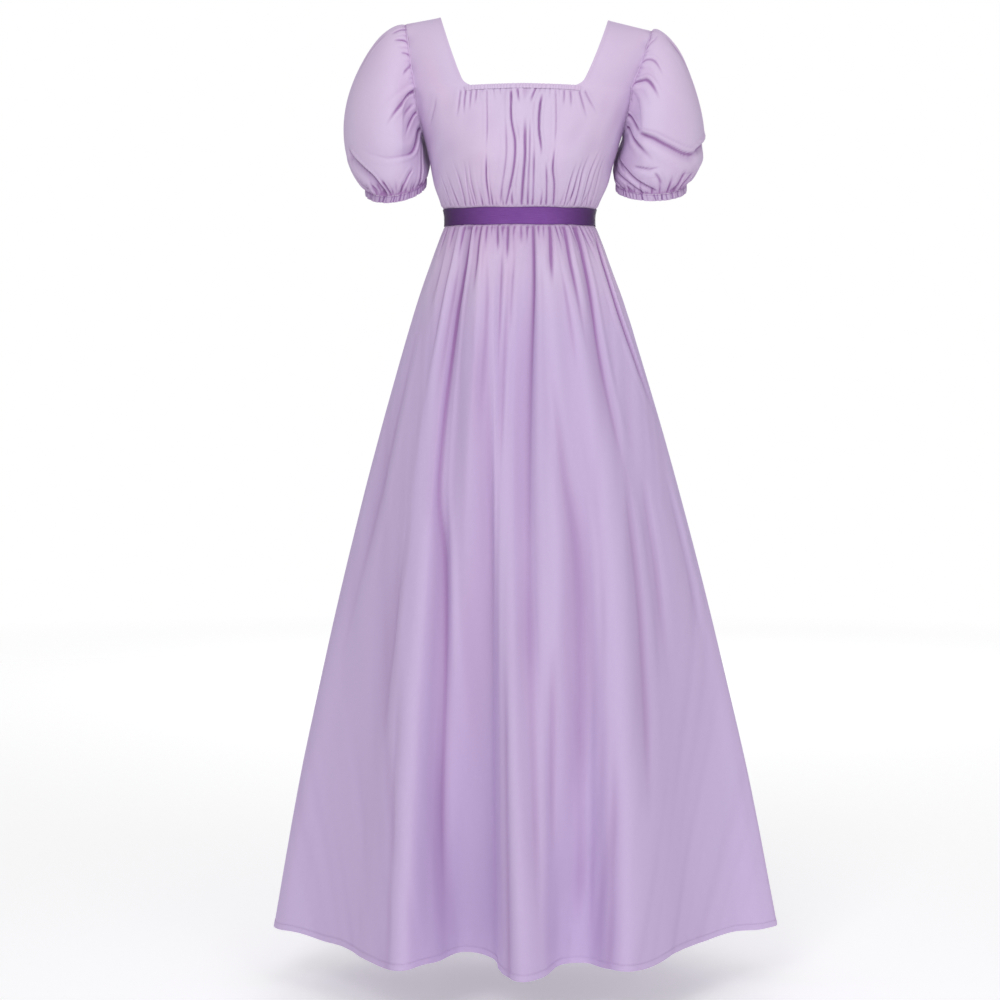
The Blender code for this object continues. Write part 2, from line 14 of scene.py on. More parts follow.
import bmesh
import bpy
import numpy as np
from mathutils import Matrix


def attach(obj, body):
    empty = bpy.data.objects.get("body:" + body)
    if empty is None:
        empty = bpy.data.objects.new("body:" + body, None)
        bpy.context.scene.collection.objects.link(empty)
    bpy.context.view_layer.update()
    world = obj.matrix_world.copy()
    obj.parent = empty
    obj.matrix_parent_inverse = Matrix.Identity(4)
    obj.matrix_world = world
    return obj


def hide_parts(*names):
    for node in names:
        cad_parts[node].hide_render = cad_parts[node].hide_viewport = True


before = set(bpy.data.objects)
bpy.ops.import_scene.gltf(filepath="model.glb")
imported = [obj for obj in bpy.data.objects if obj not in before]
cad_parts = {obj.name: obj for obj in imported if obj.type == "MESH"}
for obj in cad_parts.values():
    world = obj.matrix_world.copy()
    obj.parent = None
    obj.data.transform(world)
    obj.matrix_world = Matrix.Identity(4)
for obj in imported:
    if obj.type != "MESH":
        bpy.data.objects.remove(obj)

Array = np.ndarray
MM = 0.001
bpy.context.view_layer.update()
CLOTH_MAP = "ClothMap"
# Point layer of painted shade, which darkens the cloth's colour where light is shut out
PAINTED_SHADE_LAYER = "crease"
# Point layer of painted cooler light on the skirt
COOL_LIGHT_LAYER = "cool_light"
GOWN = "gown_cloth"
CASING = "casing_cloth"
SATIN = "ribbon_satin"
STITCH_HEIGHT = 8.2
log = logging.getLogger("gown")


class Held(Enum):
    """How a sheet of cloth is held."""

    GATHERED = "gathered"
    STRETCHED = "stretched"


# ---------------------------------------------------------------------------
# Curves and fields
# ---------------------------------------------------------------------------

def smooth_step(value: Array) -> Array:
    """Ease from 0 to 1 as value goes from 0 to 1.

    Args:
        value: Numbers of any size.

    Returns:
        The eased numbers, between 0 and 1.
    """
    clipped = np.clip(value, 0.0, 1.0)
    return clipped * clipped * (3 - 2 * clipped)


class Ramp(NamedTuple):
    """A change from 0 to 1 that starts at a value and comes in over a length."""

    start: float
    length: float

    def at(self, value: Array) -> Array:
        """Share of the change that has come in at each value."""
        return smooth_step((value - self.start) / self.length)


class Wave(NamedTuple):
    """Slow unrest: its height and length, and how much of the way down the cloth counts."""

    height: float
    length: float
    slant: float = 1.0


def smooth_column(table: Sequence[Any], key: str, column: str, at: Array) -> Array:
    """Read a smooth curve through one column of a table.

    Args:
        table: Rows with named columns.
        key: The column that runs along the curve.
        column: The column to read.
        at: Where to read it, in the key column's units.

    Returns:
        The column's values there.
    """
    keys = np.array([getattr(row, key) for row in table], dtype=float)
    values = np.array([getattr(row, column) for row in table], dtype=float)
    at = np.clip(at, keys[0], keys[-1])
    last = len(keys) - 1
    before = np.maximum(np.arange(len(keys)) - 1, 0)
    after = np.minimum(np.arange(len(keys)) + 1, last)
    slopes = (values[after] - values[before]) / (keys[after] - keys[before])
    span = np.clip(np.searchsorted(keys, at, side="right") - 1, 0, last - 1)
    width = keys[span + 1] - keys[span]
    share = (at - keys[span]) / width
    square = share * share
    cube = square * share
    return (
        (2 * cube - 3 * square + 1) * values[span]
        + (cube - 2 * square + share) * width * slopes[span]
        + (3 * square - 2 * cube) * values[span + 1]
        + (cube - square) * width * slopes[span + 1]
    )


def between(corners: Sequence[Array], share: Array) -> Array:
    """Read a smooth curve that runs from the second of four points to the third.

    Args:
        corners: The four points, or four arrays of them.
        share: Share of the way from the second to the third.

    Returns:
        The points there.
    """
    before, here, after, beyond = corners
    return 0.5 * (
        2 * here
        + (after - before) * share
        + (2 * before - 5 * here + 4 * after - beyond) * share ** 2
        + (3 * here - before - 3 * after + beyond) * share ** 3
    )


def closed_curve(points: Array, place: Array) -> Array:
    """Read a closed smooth curve through points.

    Args:
        points: One point a row.
        place: Where to read it, counted in points along the curve.

    Returns:
        The points there, in one more axis than place has.
    """
    start = np.floor(place).astype(int)
    corners = [points[(start + shift) % len(points)] for shift in (-1, 0, 1, 2)]
    return between(corners, (place - start)[..., None])


def lengths_along(line: Array) -> Array:
    """Length along a line of points, from its first point to each of them."""
    return np.concatenate(((0.0,), np.cumsum(np.linalg.norm(np.diff(line, axis=0), axis=1))))


def read_line(line: Array, lengths: Array, at: Array) -> Array:
    """Read points, or directions, at lengths along a line of them."""
    return np.stack([np.interp(at, lengths, line[:, axis]) for axis in range(3)], -1)


def cosine_and_sine(degrees: Array) -> tuple[Array, Array]:
    """Cosine and sine of angles in degrees."""
    return np.cos(np.radians(degrees)), np.sin(np.radians(degrees))


def bell(distance: Array, width: float) -> Array:
    """A soft hump that is 1 at a distance of 0."""
    return np.exp(-(distance / width) ** 2)


def signed_power(value: Array, power: float) -> Array:
    """Raise the size of each value to a power and keep its sign."""
    return np.sign(value) * np.abs(value) ** power


def unit(vectors: Array) -> Array:
    """Scale each vector to a length of 1."""
    return vectors / np.maximum(np.linalg.norm(vectors, axis=-1, keepdims=True), 1e-9)


def grid_normals(points: Array, closed: bool) -> Array:
    """Outward normals of a grid whose columns run right and rows run up, seen from outside.

    Args:
        points: Rows by columns by three.
        closed: Whether the last column meets the first.

    Returns:
        Unit normals, one a point.
    """
    if closed:
        sideways = np.roll(points, -1, axis=1) - np.roll(points, 1, axis=1)
    else:
        sideways = np.gradient(points, axis=1)
    upwards = np.gradient(points, axis=0)
    return unit(np.cross(sideways, upwards))


def raised(base: Array, relief: Array, closed: bool = False) -> Array:
    """Move each point of a grid outwards by its relief."""
    return base + grid_normals(base, closed) * relief[..., None]


def wobble(first: Array, second: Array, length: float, seed: int) -> Array:
    """Slow, even unrest over a chart, between about -1 and 1.

    Args:
        first: The chart's first measure.
        second: The chart's second measure.
        length: Typical length of a wave, in the same units.
        seed: Picks the pattern.

    Returns:
        The height of the unrest at each place.
    """
    source = np.random.default_rng(seed)
    total = np.zeros(np.broadcast(first, second).shape)
    waves, usual_peak = 7, 1.4
    for _ in range(waves):
        turn = source.uniform(0, 2 * math.pi)
        pace = 2 * math.pi / (length * source.uniform(0.7, 1.6))
        phase = source.uniform(0, 2 * math.pi)
        total += np.sin((first * math.cos(turn) + second * math.sin(turn)) * pace + phase)
    return total / math.sqrt(waves) / usual_peak


# ---------------------------------------------------------------------------
# Creases and gathers
# ---------------------------------------------------------------------------

class Crease(NamedTuple):
    """A soft trough: its route on the chart, its depth and its half width at either end.

    It fades over shares of its length, has a raised lip, and is wider on one side by its skew.
    """

    route: tuple
    depth: float
    width: float
    end_width: float
    fade_in: float = 0.25
    fade_out: float = 0.45
    lip: float = 0.30
    skew: float = 0.45


class Gather(NamedTuple):
    """A crease that a seam pulls in: its place along the seam and its size."""

    place: float
    depth: float
    length: float
    width: float
    lean: float = 0.0


class SideSeam(NamedTuple):
    """A side seam: how deep and wide it draws in, and how far it holds the cloth still."""

    dip: float
    width: float
    hold: float


SHARPNESS = 1.35
GATHER_SKEW = 0.45
GATHER_SPREAD = 1.1
LIP_PLACE = 2.2
ROUTE_STEPS = 8


@dataclass
class Chart:
    """Flat map of a grid of cloth: a share across it, and a measure down it.

    Attributes:
        across: Share across the cloth, one a grid point.
        down: Measure down the cloth, one a grid point.
        row_down: The measure down of each row at its middle, rising or falling.
        row_length: Length of each row, in millimetres.
        down_scale: Millimetres in one unit of the measure down.
        closed: Whether the cloth closes on itself.
    """

    across: Array
    down: Array
    row_down: Array
    row_length: Array
    down_scale: float = 1.0
    closed: bool = False

    def length_at(self, down: Array) -> Array:
        """Length of the cloth across, at a measure down."""
        order = np.argsort(self.row_down)
        return np.interp(down, self.row_down[order], self.row_length[order])

    def away(self, across: Array, middle: float) -> Array:
        """Shares across from a middle, the short way round where the cloth is closed."""
        return (across - middle + 0.5) % 1.0 - 0.5 if self.closed else across - middle

    def flat(self, middle: float) -> tuple[Array, Array]:
        """The grid's places in millimetres across, from a middle, and down."""
        across = self.away(self.across, middle) * self.length_at(self.down)
        return across, self.down * self.down_scale

    def sewn(self, relief: Array, seam: SideSeam, grow: Array) -> Array:
        """Hold a relief still beside the side seams, and draw the seams in.

        Args:
            relief: Millimetres out of the cloth.
            seam: The seam at either side.
            grow: Share of the dip that shows, one a grid point.

        Returns:
            The relief with its side seams.
        """
        away = np.minimum(self.across, 1 - self.across) * self.length_at(self.down)
        return relief * smooth_step(away / seam.hold) - seam.dip * bell(away, seam.width) * grow

    def trough(self, crease: Crease) -> Array:
        """Relief of one crease over the whole grid.

        Args:
            crease: The crease, whose route is in shares across and measures down.

        Returns:
            Millimetres out of the cloth, below 0 in the trough.
        """
        route = np.array(crease.route, dtype=float)
        place = np.linspace(0, len(route) - 1, ROUTE_STEPS * (len(route) - 1) + 1)
        padded = np.vstack((2 * route[0] - route[1], route, 2 * route[-1] - route[-2]))
        whole = np.minimum(place.astype(int), len(route) - 2)
        line = between([padded[whole + shift] for shift in range(4)], (place - whole)[:, None])
        middle = float(route[len(route) // 2][0])
        across, down = self.flat(middle)
        line = np.stack((self.away(line[:, 0], middle) * self.length_at(line[:, 1]),
                         line[:, 1] * self.down_scale), 1)
        reach = 4 * max(crease.width, crease.end_width)
        near = ((across > line[:, 0].min() - reach) & (across < line[:, 0].max() + reach)
                & (down > line[:, 1].min() - reach) & (down < line[:, 1].max() + reach))
        spots = np.stack((across[near], down[near]), 1)
        best = np.full(len(spots), np.inf)
        along = np.zeros(len(spots))
        hand = np.zeros(len(spots))
        lengths = np.linalg.norm(np.diff(line, axis=0), axis=1)
        passed = np.concatenate(((0.0,), np.cumsum(lengths)))
        for index, (start, end) in enumerate(zip(line, line[1:])):
            run = end - start
            part = np.clip((spots - start) @ run / max(run @ run, 1e-9), 0, 1)
            distance = np.linalg.norm(spots - start - part[:, None] * run, axis=1)
            closer = distance < best
            best[closer] = distance[closer]
            along[closer] = passed[index] + part[closer] * lengths[index]
            turned = run[0] * (spots[:, 1] - start[1]) - run[1] * (spots[:, 0] - start[0])
            hand[closer] = np.clip(turned[closer] / lengths[index] / crease.width, -1, 1)
        share = along / passed[-1]
        width = crease.width + (crease.end_width - crease.width) * share
        strength = np.ones(len(spots))
        if crease.fade_in:
            strength *= smooth_step(share / crease.fade_in)
        if crease.fade_out:
            strength *= smooth_step((1 - share) / crease.fade_out)
        ratio = best / (width * (1 + crease.skew * hand))
        profile = -np.exp(-ratio ** SHARPNESS)
        profile += crease.lip * bell(ratio - LIP_PLACE, 1.0)
        relief = np.zeros(across.shape)
        relief[near] = crease.depth * strength * profile
        return relief

    def creases(self, table: Sequence[Crease]) -> Array:
        """Relief of a whole table of creases.

        Args:
            table: The creases.

        Returns:
            Millimetres out of the cloth.
        """
        relief = np.zeros(self.across.shape)
        for crease in table:
            relief += self.trough(crease)
        return relief

    def gathers(self, table: Sequence[Gather], distance: Array, rise: float) -> Array:
        """Relief of the creases that a seam pulls in.

        Args:
            table: The gathers, whose places are shares across.
            distance: Millimetres from the seam, one a grid point.
            rise: Length over which they grow from the seam.

        Returns:
            Millimetres out of the cloth, below 0 in the creases.
        """
        relief = np.zeros(self.across.shape)
        length = self.length_at(self.down)
        grow = smooth_step(distance / rise)
        for gather in table:
            offset = self.away(self.across, gather.place) * length - gather.lean * distance
            width = gather.width * (1 + GATHER_SPREAD * np.clip(distance / gather.length, 0, 1))
            fade = 1 - smooth_step(distance / gather.length)
            steeper_side = (-1) ** int(gather.place * 1000)
            hand = np.clip(offset / width, -1, 1) * steeper_side
            ratio = np.abs(offset) / (width * (1 + GATHER_SKEW * hand))
            relief -= gather.depth * grow * fade * np.exp(-ratio ** SHARPNESS)
        return relief


def scattered_gathers(seed: int, count: int, first: float, last: float, depth: float,
                      length: float, width: float) -> tuple[Gather, ...]:
    """Fine gathers with uneven places and sizes, the same on every run.

    Args:
        seed: Picks the pattern.
        count: How many there are.
        first: Share across of the first.
        last: Share across of the last.
        depth: Usual depth.
        length: Usual length.
        width: Usual half width.

    Returns:
        The gathers in order.
    """
    source = np.random.default_rng(seed)
    step = (last - first) / count
    rows = []
    for index in range(count):
        place = first + step * (index + 0.5 + source.uniform(-0.32, 0.32))
        size = source.uniform(0.55, 1.35)
        rows.append(Gather(place, depth * size, length * source.uniform(0.45, 1.7),
                           width * source.uniform(0.8, 1.25), source.uniform(-0.12, 0.12)))
    return tuple(rows)


# ---------------------------------------------------------------------------
# Meshes
# ---------------------------------------------------------------------------

SHARP_TURN = 62


@dataclass
class Shell:
    """Thin cloth in the making.

    Attributes:
        thickness: Thickness of the cloth, in millimetres.
        outer: Outer points, one array a grid.
        inner: Their partners on the inner face.
        places: Their places on the flat cloth.
        depths: Their values of the painted shade layer.
        quads: Outer faces.
        count: How many outer points there are.
    """

    thickness: float
    outer: list = field(default_factory=list)
    inner: list = field(default_factory=list)
    places: list = field(default_factory=list)
    depths: list = field(default_factory=list)
    quads: list = field(default_factory=list)
    count: int = 0

    def add_grid(self, points: Array, chart: Array, depth: Array, closed: bool = False,
                 first_row: Optional[Array] = None) -> Array:
        """Add a grid of outer points.

        Args:
            points: Rows by columns by three, in millimetres.
            chart: Rows by columns by two, the cloth's own places in metres.
            depth: Rows by columns, the painted shade layer's value at each point, from 0 to 1.
            closed: Whether the last column meets the first.
            first_row: Numbers of points already there that stand in for the first row.

        Returns:
            Rows by columns of point numbers.
        """
        normals = grid_normals(points, closed)
        rows, columns = points.shape[:2]
        skipped = int(first_row is not None)
        fresh = np.arange((rows - skipped) * columns).reshape(rows - skipped, columns)
        numbers = fresh + self.count
        if first_row is not None:
            numbers = np.vstack((first_row[None, :], numbers))
        self.count += fresh.size
        kept = points[skipped:]
        self.outer.append(kept.reshape(-1, 3))
        self.inner.append((kept - normals[skipped:] * self.thickness).reshape(-1, 3))
        self.places.append(chart[skipped:].reshape(-1, 2))
        self.depths.append(depth[skipped:].reshape(-1))
        last = columns if closed else columns - 1
        here, right = numbers[:, :last], np.roll(numbers, -1, axis=1)[:, :last]
        self.quads.append(np.stack((here[:-1], right[:-1], right[1:], here[1:]), -1).reshape(-1, 4))
        return numbers

    def build(self, name: str, material: bpy.types.Material) -> bpy.types.Object:
        """Close the cloth with its inner face and its rims.

        Args:
            name: Name of the node that the cloth stands for.
            material: Its finish.

        Returns:
            The new object.
        """
        quads = np.vstack(self.quads)
        points = np.vstack(self.outer + self.inner) * MM
        places = np.vstack(self.places + self.places)
        depths = np.concatenate(self.depths + self.depths)
        starts = quads.ravel()
        ends = np.roll(quads, -1, axis=1).ravel()
        known = set(zip(starts.tolist(), ends.tolist()))
        rims = [(end, start, start + self.count, end + self.count)
                for start, end in sorted(known) if (end, start) not in known]
        faces = np.vstack((quads, quads[:, ::-1] + self.count, np.array(rims)))
        return make_mesh(f"{name}_cloth", points, faces, material, places, depths)


def sheet_of(name: str, thickness: float, points: Array, places: Array, shade: Array,
             material: bpy.types.Material, closed: bool = False) -> bpy.types.Object:
    """Make a sheet of cloth that is one grid.

    Args:
        name: Name of the node that it stands for.
        thickness: Thickness of the cloth, in millimetres.
        points: Its outer points, in millimetres.
        places: Their places on the flat cloth, in metres.
        shade: The painted shade layer's values, which are kept between 0 and 1.
        material: Its finish.
        closed: Whether the last column meets the first.

    Returns:
        The new object.
    """
    shell = Shell(thickness)
    shell.add_grid(points, places, np.clip(shade, 0, 1), closed)
    return shell.build(name, material)


def link(name: str, data: bpy.types.ID) -> bpy.types.Object:
    """Make an object from its data and put it in the scene.

    Args:
        name: Name of the object.
        data: Its mesh, light or camera.

    Returns:
        The new object.
    """
    item = bpy.data.objects.new(name, data)
    bpy.context.scene.collection.objects.link(item)
    return item


def add_layer(mesh: bpy.types.Mesh, name: str, values: Array) -> None:
    """Give each point of a mesh its own number, which the finishes can read."""
    layer = mesh.attributes.new(name=name, type="FLOAT", domain="POINT")
    layer.data.foreach_set("value", values.astype(np.float32))


def make_mesh(name: str, points: Array, faces: Array, material: bpy.types.Material,
              places: Optional[Array] = None, depths: Optional[Array] = None
              ) -> bpy.types.Object:
    """Make a smooth-shaded object from arrays.

    Args:
        name: Name of the piece.
        points: Points in metres.
        faces: Quads, as rows of point numbers.
        material: Its finish.
        places: Each point's place on the flat cloth, in metres.
        depths: Each point's value of the painted shade layer.

    Returns:
        The new object, linked to the scene.
    """
    mesh = bpy.data.meshes.new(name)
    mesh.from_pydata(points.tolist(), [], faces.tolist())
    mesh.validate()
    mesh.shade_smooth()
    mesh.set_sharp_from_angle(angle=math.radians(SHARP_TURN))
    mesh.materials.append(material)
    if places is not None:
        layer = mesh.uv_layers.new(name=CLOTH_MAP)
        corners = np.empty(len(mesh.loops), dtype=np.int32)
        mesh.loops.foreach_get("vertex_index", corners)
        layer.uv.foreach_set("vector", places[corners].astype(np.float32).ravel())
    # Painted shade, one value a point
    if depths is not None:
        add_layer(mesh, PAINTED_SHADE_LAYER, depths)
    return link(name, mesh)


# ---------------------------------------------------------------------------
# The worn body's form, which the bodice, ribbon and skirt share
# ---------------------------------------------------------------------------

class Section(NamedTuple):
    """Half widths and depths of the bodice at a drop."""

    drop: float
    left: float
    right: float
    front: float
    back: float


class Fullness(NamedTuple):
    """A soft swelling of the bodice's front."""

    x: float
    drop: float
    spread_x: float
    spread_drop: float
    depth: float


class Edge(NamedTuple):
    """Drop of a top edge, at a turn in degrees from the side seam."""

    turn: float
    drop: float


class Strap(NamedTuple):
    """A shoulder strap's ridge."""

    side: int
    inner_x: float
    inner_drop: float
    outer_x: float
    outer_drop: float


@dataclass(frozen=True)
class WornForm:
    """The filled-out form that the high-waisted body of the gown keeps.

    Attributes:
        sections: Half widths and depths down the body.
        power: Roundness of a section, where 1 is an ellipse.
        cups: The swellings of the front.
        front_edge: The front panel's top edge, from a side seam to the middle.
        back_edge: The back panel's top edge.
        strap_outer_row: Row of either edge table where a strap's outer edge stands.
        strap_inner_row: Row where its inner edge stands.
        ridge_y: Where the shoulder ridge lies, from front to back.
        strap_curve: How a strap's edges bow on their way up.
        strap_start: Share of the way over which they set out softly.
        ribbon_top: Drop of the ribbon's upper edge.
        ribbon_bottom: Drop of its lower edge.
        waist_seam: Drop of the seam behind it.
        seam_gap: Gap between pieces at a seam.
    """

    sections: tuple[Section, ...] = (
        Section(80, 178, 180, 93, 88),
        Section(108, 171, 173, 103, 94),
        Section(140, 158, 160, 117, 98),
        Section(172, 147, 149, 126, 99),
        Section(210, 138, 137, 129, 97),
        Section(245, 131, 127, 120, 92),
        Section(283, 117, 110, 104, 87),
        Section(308, 115, 108, 100, 86),
        Section(330, 118, 112, 102, 88),
    )
    power: float = 0.92
    cups: tuple[Fullness, ...] = (
        Fullness(-62, 214, 46, 44, 11),
        Fullness(62, 214, 46, 44, 11),
    )
    front_edge: tuple[Edge, ...] = (
        Edge(0, 174), Edge(6, 169), Edge(12, 153), Edge(18, 130), Edge(25, 108),
        Edge(62.5, 108), Edge(67, 107), Edge(90, 105),
    )
    back_edge: tuple[Edge, ...] = (
        Edge(0, 174), Edge(6, 169), Edge(12, 152), Edge(18, 127), Edge(25, 100),
        Edge(60, 100), Edge(66, 101), Edge(90, 102),
    )
    strap_outer_row: int = 4
    strap_inner_row: int = 5
    ridge_y: float = 2.0
    strap_curve: float = 0.75
    strap_start: float = 0.04
    ribbon_top: float = 283.0
    ribbon_bottom: float = 308.0
    waist_seam: float = 296.0
    seam_gap: float = 0.3

    def point(self, turn: Array, drop: Array) -> Array:
        """Points of the form.

        Args:
            turn: Degrees round the body, 0 at the right side, 270 at the front.
            drop: Millimetres below the shoulders.

        Returns:
            Points in millimetres.
        """
        left, right, front, back = (
            smooth_column(self.sections, "drop", name, drop) for name in Section._fields[1:])
        cosine, sine = cosine_and_sine(turn)
        x = np.where(cosine > 0, right, left) * signed_power(cosine, self.power)
        y = np.where(sine > 0, back, front) * signed_power(sine, self.power)
        for cup in self.cups:
            away = ((x - cup.x) / cup.spread_x) ** 2 + ((drop - cup.drop) / cup.spread_drop) ** 2
            y = y - np.where(sine < 0, cup.depth * np.exp(-away), 0.0)
        return np.stack((x, y, -drop + 0.0 * x), -1)

    def edge(self, front: bool) -> tuple[Edge, ...]:
        """Top edge of the front or the back panel."""
        return self.front_edge if front else self.back_edge

    def foot_drop(self, front: bool) -> float:
        """Drop of the feet of the front's or the back's strap ends."""
        return self.edge(front)[self.strap_outer_row].drop

    def top_drop(self, turn: Array, front: bool) -> Array:
        """Drop of the bodice's top edge, or of a strap's foot.

        Args:
            turn: Degrees round the body.
            front: Whether it is the front panel's edge.

        Returns:
            Millimetres below the shoulders.
        """
        table = self.edge(front)
        from_side = np.minimum(turn % 180, 180 - turn % 180)
        outer, inner = table[self.strap_outer_row], table[self.strap_inner_row]
        curved = smooth_column(table, "turn", "drop", from_side)
        return np.where((from_side >= outer.turn) & (from_side <= inner.turn), outer.drop, curved)

    def strap_point(self, strap: Strap, outer_turn: float, inner_turn: float, base_drop: float,
                    seam_shift: float, across: Array, up: Array) -> Array:
        """Points of a strap from its foot to the shoulder ridge.

        Args:
            strap: The strap's ridge.
            outer_turn: Turn of its outer edge at the foot.
            inner_turn: Turn of its inner edge at the foot.
            base_drop: Drop of its foot.
            seam_shift: How far the shoulder seam is drawn back from the ridge.
            across: Share from the outer to the inner edge.
            up: Share from the foot to the ridge.

        Returns:
            Points in millimetres.
        """
        foot = self.point(outer_turn + (inner_turn - outer_turn) * across, base_drop + 0 * up)
        ridge_x = strap.side * (strap.outer_x + (strap.inner_x - strap.outer_x) * across)
        ridge_drop = strap.outer_drop + (strap.inner_drop - strap.outer_drop) * across
        lift = np.sin(math.pi / 2 * up)
        bend = 1 - np.cos(math.pi / 2 * up)
        soft, power = self.strap_start ** 2, self.strap_curve / 2
        start, end = soft ** power, (1 + soft) ** power
        aside = ((lift ** 2 + soft) ** power - start) / (end - start)
        return np.stack((
            foot[..., 0] + (ridge_x - foot[..., 0]) * aside,
            foot[..., 1] + (self.ridge_y + seam_shift - foot[..., 1]) * bend,
            foot[..., 2] + (-ridge_drop - foot[..., 2]) * lift,
        ), -1)


STRAPS = {
    "left": Strap(-1, 121, 0, 171, 9),
    "right": Strap(1, 127, 4, 190, 19),
}


def row_lengths(points: Array, closed: bool) -> Array:
    """Length of each row of a grid of points."""
    ring = np.concatenate((points, points[:, :1]), axis=1) if closed else points
    return np.linalg.norm(np.diff(ring, axis=1), axis=-1).sum(axis=1)


NARROW_REACH = 3


def shade_of(relief: Array, full: float, tight: Any, closed: bool = False) -> Array:
    """How far a relief shuts the light out, where it is deep or narrow.

    Args:
        relief: Millimetres out of the cloth, one a grid point.
        full: Depth that counts as fully deep, and gives half of the shade.
        tight: Depth of a narrow trough that counts as fully shut.
        closed: Whether the last column meets the first.

    Returns:
        Shares from 0 on open cloth to 1 in a shut crease.
    """
    rows, columns = relief.shape
    across, down = np.arange(columns), np.arange(rows)
    beside = [(across + step) % columns if closed else np.clip(across + step, 0, columns - 1)
              for step in (-NARROW_REACH, NARROW_REACH)]
    above, below = (np.clip(down + step, 0, rows - 1) for step in (-1, 1))
    narrow = np.maximum(
        (relief[:, beside[0]] + relief[:, beside[1]]) / 2 - relief,
        (relief[above] + relief[below]) / 2 - relief)
    return np.clip(0.5 * np.clip(-relief / full, 0, 1) + np.clip(narrow / tight, 0, 1), 0, 1)


def hollow_of(points: Array, share: float) -> Array:
    """How far each point of a panel lies behind the middle of its neighbours.

    Args:
        points: Rows by columns by three.
        share: Share of a row's columns that counts as near, on either side.

    Returns:
        Millimetres, above 0 in the valleys and below 0 on the ridges.
    """
    columns = points.shape[1]
    reach = int(share * columns)
    sums = np.concatenate((0 * points[:, :1], np.cumsum(points, axis=1)), axis=1)
    place = np.arange(columns)
    near = np.minimum(np.minimum(place, columns - 1 - place), reach)
    mean = (sums[:, place + near + 1] - sums[:, place - near]) / (2 * near + 1)[:, None]
    return ((mean - points) * grid_normals(points, False)).sum(-1)


# ---------------------------------------------------------------------------
# Bodice
# ---------------------------------------------------------------------------

